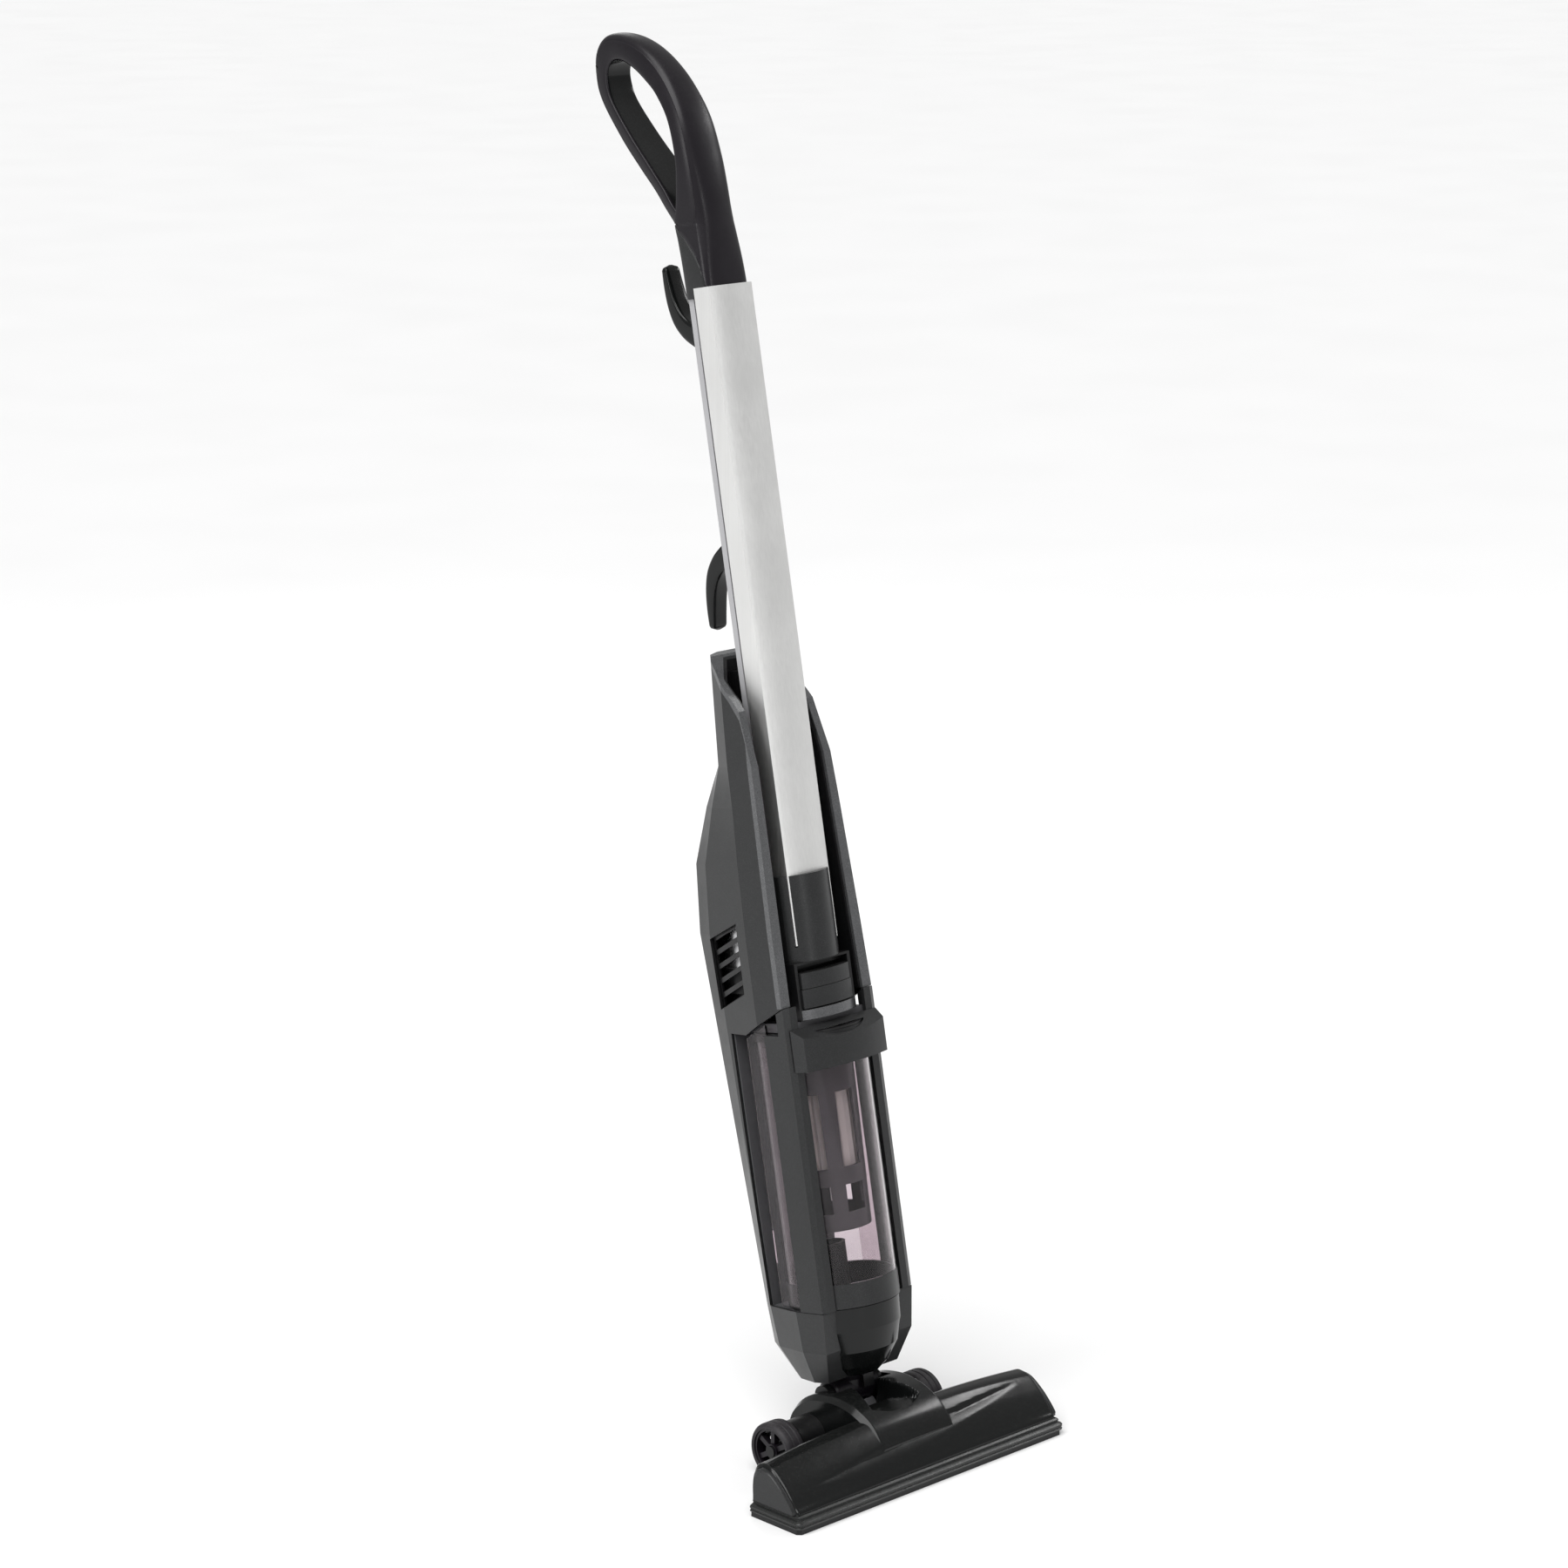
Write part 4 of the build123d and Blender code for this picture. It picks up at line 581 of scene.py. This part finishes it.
def make_cover(name):
    """Head cover: the section is carried along X, drawn in toward both ends with a quarter round, and
    pressed in by a swoosh that starts deep under one line and fades out over its width."""
    end = 143.4
    s = np.linspace(-1, 1, 161)
    x = end * np.sign(s) * (1 - (1 - np.abs(s)) ** 1.25)
    round_off = 2.6 * (1 - np.sqrt(np.clip(1 - np.clip((np.abs(x) - (end - 2.6)) / 2.6, 0, 1) ** 2, 0, 1)))
    knots = head_section(x, 0.0)
    outer = np.stack([spline_through(row, 111) for row in knots])
    inner = np.stack([spline_through(row, 111) for row in head_section(x, 2.2)])
    heading = np.gradient(outer, axis=1)
    outward = np.stack([heading[..., 1], -heading[..., 0]], axis=-1)
    outward /= np.linalg.norm(outward, axis=-1, keepdims=True)
    run = (x + 118) / 245
    line_y = -26.5 + 15.5 * run
    width = 9.5 * np.sin(np.pi * np.clip(run, 0, 1)) ** 0.7
    below = line_y[:, None] - outer[..., 0]
    share = below / np.maximum(width, 0.01)[:, None]
    inside = (share > 0) & (share < 1) & (run > 0)[:, None] & (run < 1)[:, None] & (outer[..., 1] > 16)
    fade = np.where(inside, np.clip(1 - share, 0, 1) ** 1.1 * np.clip(share * 5, 0, 1), 0)
    depth = 2.0 * np.sin(np.pi * np.clip(run, 0, 1))[:, None] ** 0.7 * fade
    outer = outer - outward * (depth + round_off[:, None])[..., None]
    loop = np.concatenate([outer, inner[:, ::-1]], axis=1)
    xs = np.broadcast_to(x[:, None], loop.shape[:2])
    grid = np.stack([xs, loop[..., 0], loop[..., 1]], axis=-1) * MM
    return sweep(name, grid, sharp=50)


def blend_step(distance, width):
    """Smooth step from 0 to 1 as a distance goes from none to the width."""
    share = np.clip(distance / width, 0, 1)
    return share * share * (3 - 2 * share)


def make_hump(name):
    """Hump behind the cover as one height over a fine grid: a long crown with chamfered sides, pressed
    down inside a fan-shaped dish ahead of the neck, in the well round the neck and in the rear slot,
    each with a smooth step at its edge; a second, lower sheet closes it from below."""
    x = np.linspace(-42, 42, 141)[:, None]
    y = np.linspace(-24, 79.5, 173)[None, :]
    crown = np.array([(-24, 34.6), (-19, 41.2), (-12, 48.6), (-5, 53.6), (4, 57.8), (14, 60.8), (31, 62.4),
                      (50, 59.5),
                      (60, 55.6), (68, 50.4), (74, 44.4), (77.5, 38), (79.5, 30)])
    line = spline_through(crown, 400)
    top = np.interp(y, line[:, 0], line[:, 1]) + 0 * x
    top = top - np.maximum(np.abs(x) - 37.5, 0) * 0.95 - (x / 42) ** 2 * 0.8
    fan_half = np.interp(y, [-8, 8, 30, 38], [29, 25, 17, 15])
    fan_front = -7 + 9 * (np.abs(x) / 27) ** 2
    fan = blend_step(np.minimum(fan_half - np.abs(x), y - fan_front), 1.6)
    pan = np.interp(y, [-10, 12, 28, 37, 40], [52.6, 50.4, 46.4, 39.5, 36.5])
    well = blend_step(np.minimum(np.minimum(29.7 - np.abs(x), y - 37), 69.5 - y), 1.2)
    slot = blend_step(np.minimum(17 - np.abs(x), y - 60), 1.2)
    height = top * (1 - fan) + np.minimum(pan, top) * fan
    height = height * (1 - well) + 36.0 * well
    height = height * (1 - slot) + np.minimum(height, 38.0) * slot
    under = np.minimum(np.where(y < 13.3, 37.0, 8.0), height - 1.6)
    across, along = np.broadcast_to(x, height.shape), np.broadcast_to(y, height.shape)
    upper = np.stack([across, along, height], axis=-1) * MM
    lower = np.stack([across, along, under], axis=-1) * MM
    rows, columns = height.shape
    base = rows * columns
    quads = np.array(grid_faces(rows, columns, False, False))
    index = np.arange(base).reshape(rows, columns)
    rim = np.concatenate([index[0, :], index[1:, -1], index[-1, -2::-1], index[-2:0:-1, 0]])
    ahead = np.roll(rim, -1)
    skirt = np.stack([rim, ahead, ahead + base, rim + base], axis=-1)
    faces = quads.tolist() + (quads[:, ::-1] + base).tolist() + skirt.tolist()
    return make_object(name, np.concatenate([upper.reshape(-1, 3), lower.reshape(-1, 3)]), faces, 34)


def make_end_plate(name):
    """End plates: the cover's outline drawn in and closed below, with a rounded rim that swells from
    the joint to the flat outside."""
    plates = []
    for side in (-1.0, 1.0):
        station = np.array([0.0, 0.0, 0.35, 0.8, 1.0, 1.0])
        inset = np.array([2.4, 2.2, 2.2, 2.5, 3.3, 5.0])
        rows = []
        for along, draw in zip(station, inset):
            x = np.array([143.5 * side])
            line = spline_through(head_section(x, draw)[0], 71)
            line[:, 1] = np.maximum(line[:, 1], 14.3)
            rows.append(np.column_stack([np.full(71, side * (142.5 + 4.3 * along)), line]))
        grid = np.stack(rows) * MM
        plates.append(sweep(name + "_side", grid, sharp=40))
    verts, faces = joined(plates)
    return make_object(name, np.vstack(verts), faces)


def make_band(name):
    """Bumper band: a stepped profile of outward offset and height, carried from one rear corner round
    the two front corners, which are quarter rounds of 5 mm, to the other rear corner."""
    profile = np.array([(-6.2, 13.9), (-4.6, 13.9), (-3.2, 12.9), (-3.0, 12.2), (-3.6, 11.4), (-3.4, 10.8),
                        (-0.7, 9.6),
                        (0.0, 8.9), (0.0, 7.6), (-0.7, 6.9), (-0.8, 6.2), (0.0, 5.6), (-0.2, 4.6),
                        (-1.2, 4.1),
                        (-6.2, 4.1)])
    turn = np.linspace(0, np.pi / 2, 9)
    r = 5.0
    half, front, rear = 148.0, -42.5, 12.0
    left = np.column_stack([-half + r - r * np.cos(turn), front + r - r * np.sin(turn)])
    right = np.column_stack([half - r + r * np.sin(turn), front + r - r * np.cos(turn)])
    side_in = np.linspace(rear, front + r, 12)[:-1]
    middle = np.linspace(-half + r, half - r, 60)[1:-1]
    path = np.vstack([np.column_stack([np.full(11, -half), side_in]), left,
                      np.column_stack([middle, np.full(58, front)]), right,
                      np.column_stack([np.full(11, half), side_in[::-1]])])
    heading = np.gradient(path, axis=0)
    outward = np.column_stack([heading[:, 1], -heading[:, 0]])
    outward /= np.linalg.norm(outward, axis=1, keepdims=True)
    place = path[:, None, :] + outward[:, None, :] * profile[None, :, 0:1]
    height = np.broadcast_to(profile[None, :, 1:2], place.shape[:2] + (1,))
    return sweep(name, np.concatenate([place, height], axis=-1) * MM, sharp=32)


def make_tyre(name, side):
    """Tyre: a profile of radius and width turned about the axle, with a crowned tread, two shallow
    grooves and rounded shoulders; the inner wall is straight."""
    low, high = 69.0, 87.0
    profile = np.array([(18.6, 0.02), (20.6, 0.0), (22.0, 0.05), (22.75, 0.12), (22.95, 0.22), (22.97, 0.30),
                        (22.3, 0.33),
                        (22.3, 0.36), (22.98, 0.39), (22.98, 0.61), (22.3, 0.64), (22.3, 0.67), (22.97, 0.70),
                        (22.95, 0.78), (22.75, 0.88), (22.0, 0.95), (20.6, 1.0), (18.6, 0.98)])
    turn = np.linspace(0, 2 * np.pi, 97)[:-1]
    radius, share = profile[:, 0], profile[:, 1]
    x = side * (low + (high - low) * share)
    y = WHEEL_AXIS[0] + radius[None, :] * np.cos(turn)[:, None]
    z = WHEEL_AXIS[1] + radius[None, :] * np.sin(turn)[:, None]
    grid = np.stack(np.broadcast_arrays(x[None, :], y, z), axis=-1) * MM
    return sweep(name, grid, wrap_rows=True, sharp=35)


def make_bristles(name):
    """Bristle tufts: small six-sided cones in rows along two helices on the roller, each leaning
    outward from the roller's axis and a little sideways."""
    count, per_row = 118, 3
    along = np.linspace(-113, 113, count)
    rows = []
    rng = np.random.default_rng(7)
    for start in (0.0, np.pi):
        for lane in range(per_row):
            angle = start + along / 113 * np.pi / 2 * 1.0 + (lane - 1) * 0.11
            rows.append(np.column_stack([along + (lane - 1) * 0.6, angle]))
    seed = np.vstack(rows)
    ring = np.linspace(0, 2 * np.pi, 7)[:-1]
    reach = np.array([9.2, 12.5, 15.2])[None, :, None]
    thick = np.array([0.95, 0.85, 0.55])[None, :, None]
    lean = rng.normal(0, 0.05, (len(seed), 1, 1))
    angle = seed[:, 1][:, None, None] + lean * (reach - 9) / 6
    radial_y, radial_z = np.cos(angle), np.sin(angle)
    x = seed[:, 0][:, None, None] + thick * np.cos(ring) + rng.normal(0, 0.12,
                                                                      (len(seed), 1, 1)) * (reach - 9)
    side = thick * np.sin(ring)
    y = ROLLER_AXIS[0] + reach * radial_y - side * radial_z
    z = ROLLER_AXIS[1] + reach * radial_z + side * radial_y
    grid = np.stack(np.broadcast_arrays(x, y, z), axis=-1) * MM
    n, rows_n, cols = grid.shape[:3]
    quads = np.array(grid_faces(rows_n, cols, False, True))
    all_quads = (quads[None] + (np.arange(n) * rows_n * cols)[:, None, None]).reshape(-1, 4).tolist()
    tops = (np.arange(cols)[::-1][None] + (rows_n - 1) * cols + (np.arange(n) * rows_n * cols)[:,
                                                                                               None]).tolist()
    feet = (np.arange(cols)[None] + (np.arange(n) * rows_n * cols)[:, None]).tolist()
    return make_object(name, grid.reshape(-1, 3), all_quads + tops + feet)


# ---------------------------------------------------------------- cord hooks
HOOK_PATH = [(-13.2, 893.5), (-19, 894.0), (-27, 896.5), (-35.5, 901.5), (-43.0, 910.0), (-47.8, 922.0),
             (-50.4, 937.0), (-51.8, 953.0)]
HOOK_DEPTH = [11.5, 11.2, 9.4, 8.0, 6.8, 5.4, 4.2, 2.8]
HOOK_WIDTH = [8.0, 8.0, 8.0, 8.0, 8.0, 8.0, 7.8, 7.2]


def make_hook(name, turned_over):
    """Cord hook: a rounded section carried along a curve that runs out from the strip and bends along
    it, getting thinner to its tip; the lower hook is the same turned over end for end."""
    table = np.column_stack([np.array(HOOK_PATH), HOOK_DEPTH, HOOK_WIDTH])
    line = spline_through(table, 61)
    heading = np.gradient(line[:, :2], axis=0)
    heading /= np.linalg.norm(heading, axis=1, keepdims=True)
    across = np.column_stack([heading[:, 1], -heading[:, 0]])
    turn = np.linspace(0, 2 * np.pi, 41)[:-1]
    p, q = superellipse(turn, 5.5)
    tip = np.sqrt(np.clip(1 - np.clip((np.linspace(0, 1, 61) - 0.965) / 0.036, 0, 1) ** 2, 0.02, 1))[:, None]
    front = line[:, 0][:, None] + across[:, 0][:, None] * p[None] * line[:, 2][:, None] * tip
    level = line[:, 1][:, None] + across[:, 1][:, None] * p[None] * line[:, 2][:, None] * tip
    side = q[None] * line[:, 3][:, None] * tip
    front = np.minimum(front, STRIP_FACE)
    if turned_over:
        level = HOOK_LEVEL_SUM - level
    return sweep(name, stand(side, front, level), sharp=45)


# ---------------------------------------------------------------- settings and operators
class VacuumSettings(bpy.types.PropertyGroup):
    """Colours and sizes of the finishes."""
    shell_colour: bpy.props.FloatVectorProperty(
        name="Shell", description="Colour of the flaked shells", default=(0.0175, 0.018, 0.0185),
                                                subtype="COLOR",
        min=0, max=1)
    accent_colour: bpy.props.FloatVectorProperty(
        name="Accent", description="Colour of the plum parts", default=(0.0065, 0.005, 0.0075),
                                                 subtype="COLOR",
        min=0, max=1)
    tube_colour: bpy.props.FloatVectorProperty(
        name="Tube", description="Colour of the tube", default=(0.80, 0.80, 0.79), subtype="COLOR", min=0,
                                               max=1)
    smoke_colour: bpy.props.FloatVectorProperty(
        name="Smoke", description="Tint of the clear bin", default=(0.80, 0.74, 0.77), subtype="COLOR", min=0,
                                                max=1)
    floor_half: bpy.props.FloatProperty(
        name="Floor half width", description="Half the width of the floor", default=60.0, min=1,
                                        unit="LENGTH")


class VACUUM_OT_finishes(bpy.types.Operator):
    """Build every finish and give it to the pieces that stay as packed"""
    bl_idname = "vacuum.finishes"
    bl_label = "Finishes"

    def execute(self, context):
        made = build_finishes(context.scene.vacuum_settings)
        for slot, material in made.items():
            FINISH_NAMES[slot] = material.name
        for part in frame["record"]["subparts"]:
            obj = frame["nodes"][part["node"]]
            for place in obj.material_slots:
                place.material = made[part["material_slot"]]
        return {"FINISHED"}


class VACUUM_OT_grip(bpy.types.Operator):
    """Sculpt the looped grip as a front shell, a rear shell and the gloss lining"""
    bl_idname = "vacuum.grip"
    bl_label = "Grip"

    def execute(self, context):
        fit_piece(make_grip_front("grip_front_shell"), "stick", finish("accent_plum"), "accent_plum",
                  "handle_front")
        fit_piece(make_grip_rear("grip_rear_shell"), "stick", finish("shell_grey"), "shell_grey",
                  "handle_rear")
        fit_piece(make_grip_lining("grip_gloss_lining"), "stick", finish("gloss_black"), "gloss_black",
                  "grip_lining")
        return {"FINISHED"}


class VACUUM_OT_floor_head(bpy.types.Operator):
    """Form the head's cover with its swoosh, its end plates and the stepped band"""
    bl_idname = "vacuum.floor_head"
    bl_label = "Floor Head"

    def execute(self, context):
        fit_piece(make_cover("cover_with_swoosh"), "head", finish("gloss_black"), "gloss_black", "head_cover")
        fit_piece(make_hump("neck_hump"), "head", finish("gloss_black"), "gloss_black", "neck_cover")
        fit_piece(make_end_plate("end_plates"), "head", finish("shell_grey"), "accent_plum", "end_caps")
        fit_piece(make_band("stepped_band"), "head", finish("band_rubber"), "band_rubber", "bumper_band")
        return {"FINISHED"}


class VACUUM_OT_tyres(bpy.types.Operator):
    """Turn the two grooved tyres"""
    bl_idname = "vacuum.tyres"
    bl_label = "Tyres"

    def execute(self, context):
        for side, name in ((-1, "left"), (1, "right")):
            fit_piece(make_tyre("grooved_tyre_" + name, side), "wheel_" + name, finish("tyre_rubber"),
                      "tyre_rubber",
                      "tyre_" + name)
        return {"FINISHED"}


class VACUUM_OT_bristles(bpy.types.Operator):
    """Plant the roller's bristle tufts along their two helices"""
    bl_idname = "vacuum.bristles"
    bl_label = "Bristles"

    def execute(self, context):
        fit_piece(make_bristles("bristle_tufts"), "brush", finish("bristle"), "bristle", "brush_strips")
        return {"FINISHED"}


class VACUUM_OT_hooks(bpy.types.Operator):
    """Sweep the two cord hooks"""
    bl_idname = "vacuum.hooks"
    bl_label = "Cord Hooks"

    def execute(self, context):
        fit_piece(make_hook("turning_cord_hook", False), "turning_hook", finish("gloss_black"), "liner_black",
                  "hook_upper")
        fit_piece(make_hook("fixed_cord_hook", True), "stick", finish("gloss_black"), "liner_black",
                  "hook_lower")
        return {"FINISHED"}


class VACUUM_OT_studio(bpy.types.Operator):
    """Lay the pale floor, hang the soft lights and set the camera"""
    bl_idname = "vacuum.studio"
    bl_label = "Studio"

    def execute(self, context):
        scene = context.scene
        half = scene.vacuum_settings.floor_half
        corners = np.array([(-half, -half, 0), (half, -half, 0), (half, half, 0), (-half, half, 0)], float)
        floor = make_object("floor", corners, [[0, 1, 2, 3]])
        material, tree, shader = start_material("pale floor")
        place = node(tree, "ShaderNodeTexCoord").outputs["Object"]
        cloud = node(tree, "ShaderNodeTexNoise",
                     {"Vector": place, "Scale": 3.0, "Detail": 4.0}).outputs["Fac"]
        tree.links.new(ramp(tree, cloud, 0.3, 0.7, 0.55, 0.65), shader.inputs["Roughness"])
        shader.inputs["Base Color"].default_value = (0.9, 0.9, 0.9, 1)
        shader.inputs["Specular IOR Level"].default_value = 0.2
        floor.data.materials.append(material)
        world = bpy.data.worlds.new("studio")
        world.use_nodes = True
        sky = world.node_tree
        lit = sky.nodes["Background"]
        lit.inputs["Strength"].default_value = 0.42
        shown = node(sky, "ShaderNodeBackground", {"Color": (1, 1, 1, 1), "Strength": 0.95})
        seen = node(sky, "ShaderNodeLightPath").outputs["Is Camera Ray"]
        both = node(sky, "ShaderNodeMixShader", {0: seen, 1: lit.outputs[0], 2: shown.outputs[0]})
        sky.links.new(both.outputs[0], sky.nodes["World Output"].inputs["Surface"])
        lit.inputs["Color"].default_value = (1, 1, 1, 1)
        scene.world = world
        for kind, name, place, aim, size, power in (
                ("SUN", "sky", (-3.0, -1.2, 5.0), (0, 0, 0), 0.9, 2.6),
                ("AREA", "left", (-3.2, 0.6, 1.6), (0, 0.1, 0.55), (0.5, 1.8), 22),
                ("AREA", "front", (-0.6, -3.4, 1.5), (0, 0.1, 0.5), (0.35, 1.6), 12),
                ("AREA", "right", (2.1, -0.5, 2.0), (0, 0.0, 0.1), (1.0, 0.22), 9),
                ("AREA", "rear", (1.6, 2.6, 1.9), (0, 0.1, 0.6), (0.8, 1.6), 7)):
            lamp = bpy.data.lights.new(name, kind)
            lamp.energy = power
            if kind == "SUN":
                lamp.angle = size
            else:
                lamp.shape = "RECTANGLE"
                lamp.size, lamp.size_y = size
            holder = bpy.data.objects.new(name, lamp)
            scene.collection.objects.link(holder)
            holder.location = place
            holder.rotation_mode = "QUATERNION"
            holder.rotation_quaternion = (Vector(aim) - Vector(place)).to_track_quat("-Z", "Y")
        camera = bpy.data.objects.new("camera", bpy.data.cameras.new("camera"))
        scene.collection.objects.link(camera)
        camera.data.lens = CAMERA_LENS
        camera.data.sensor_width = 36
        camera.location = CAMERA_PLACE
        ahead = Vector(CAMERA_AHEAD).normalized()
        turn = ahead.to_track_quat("-Z", "Y").to_matrix() @ Matrix.Rotation(math.radians(CAMERA_ROLL), 3, "Z")
        camera.rotation_mode = "QUATERNION"
        camera.rotation_quaternion = turn.to_quaternion()
        scene.camera = camera
        scene.view_settings.view_transform = "Standard"
        return {"FINISHED"}


class VACUUM_PT_panel(bpy.types.Panel):
    """Lists the stick vacuum's settings and pieces"""
    bl_idname = "VACUUM_PT_panel"
    bl_label = "Stick Vacuum"
    bl_space_type = "VIEW_3D"
    bl_region_type = "UI"
    bl_category = "Stick Vacuum"

    def draw(self, context):
        for name in VacuumSettings.__annotations__:
            self.layout.prop(context.scene.vacuum_settings, name)
        for operator in OPERATORS:
            self.layout.operator(operator.bl_idname)


OPERATORS = (VACUUM_OT_finishes, VACUUM_OT_grip, VACUUM_OT_floor_head, VACUUM_OT_tyres, VACUUM_OT_bristles,
             VACUUM_OT_hooks, VACUUM_OT_studio)
CLASSES = (VacuumSettings,) + OPERATORS + (VACUUM_PT_panel,)


def register():
    for cls in CLASSES:
        bpy.utils.register_class(cls)
    bpy.types.Scene.vacuum_settings = bpy.props.PointerProperty(type=VacuumSettings)


def unregister():
    del bpy.types.Scene.vacuum_settings
    for cls in reversed(CLASSES):
        bpy.utils.unregister_class(cls)


def main():
    register()
    bpy.ops.vacuum.finishes()
    bpy.ops.vacuum.grip()
    bpy.ops.vacuum.floor_head()
    bpy.ops.vacuum.tyres()
    bpy.ops.vacuum.bristles()
    bpy.ops.vacuum.hooks()
    bpy.ops.vacuum.studio()


if __name__ == "__main__":
    main()
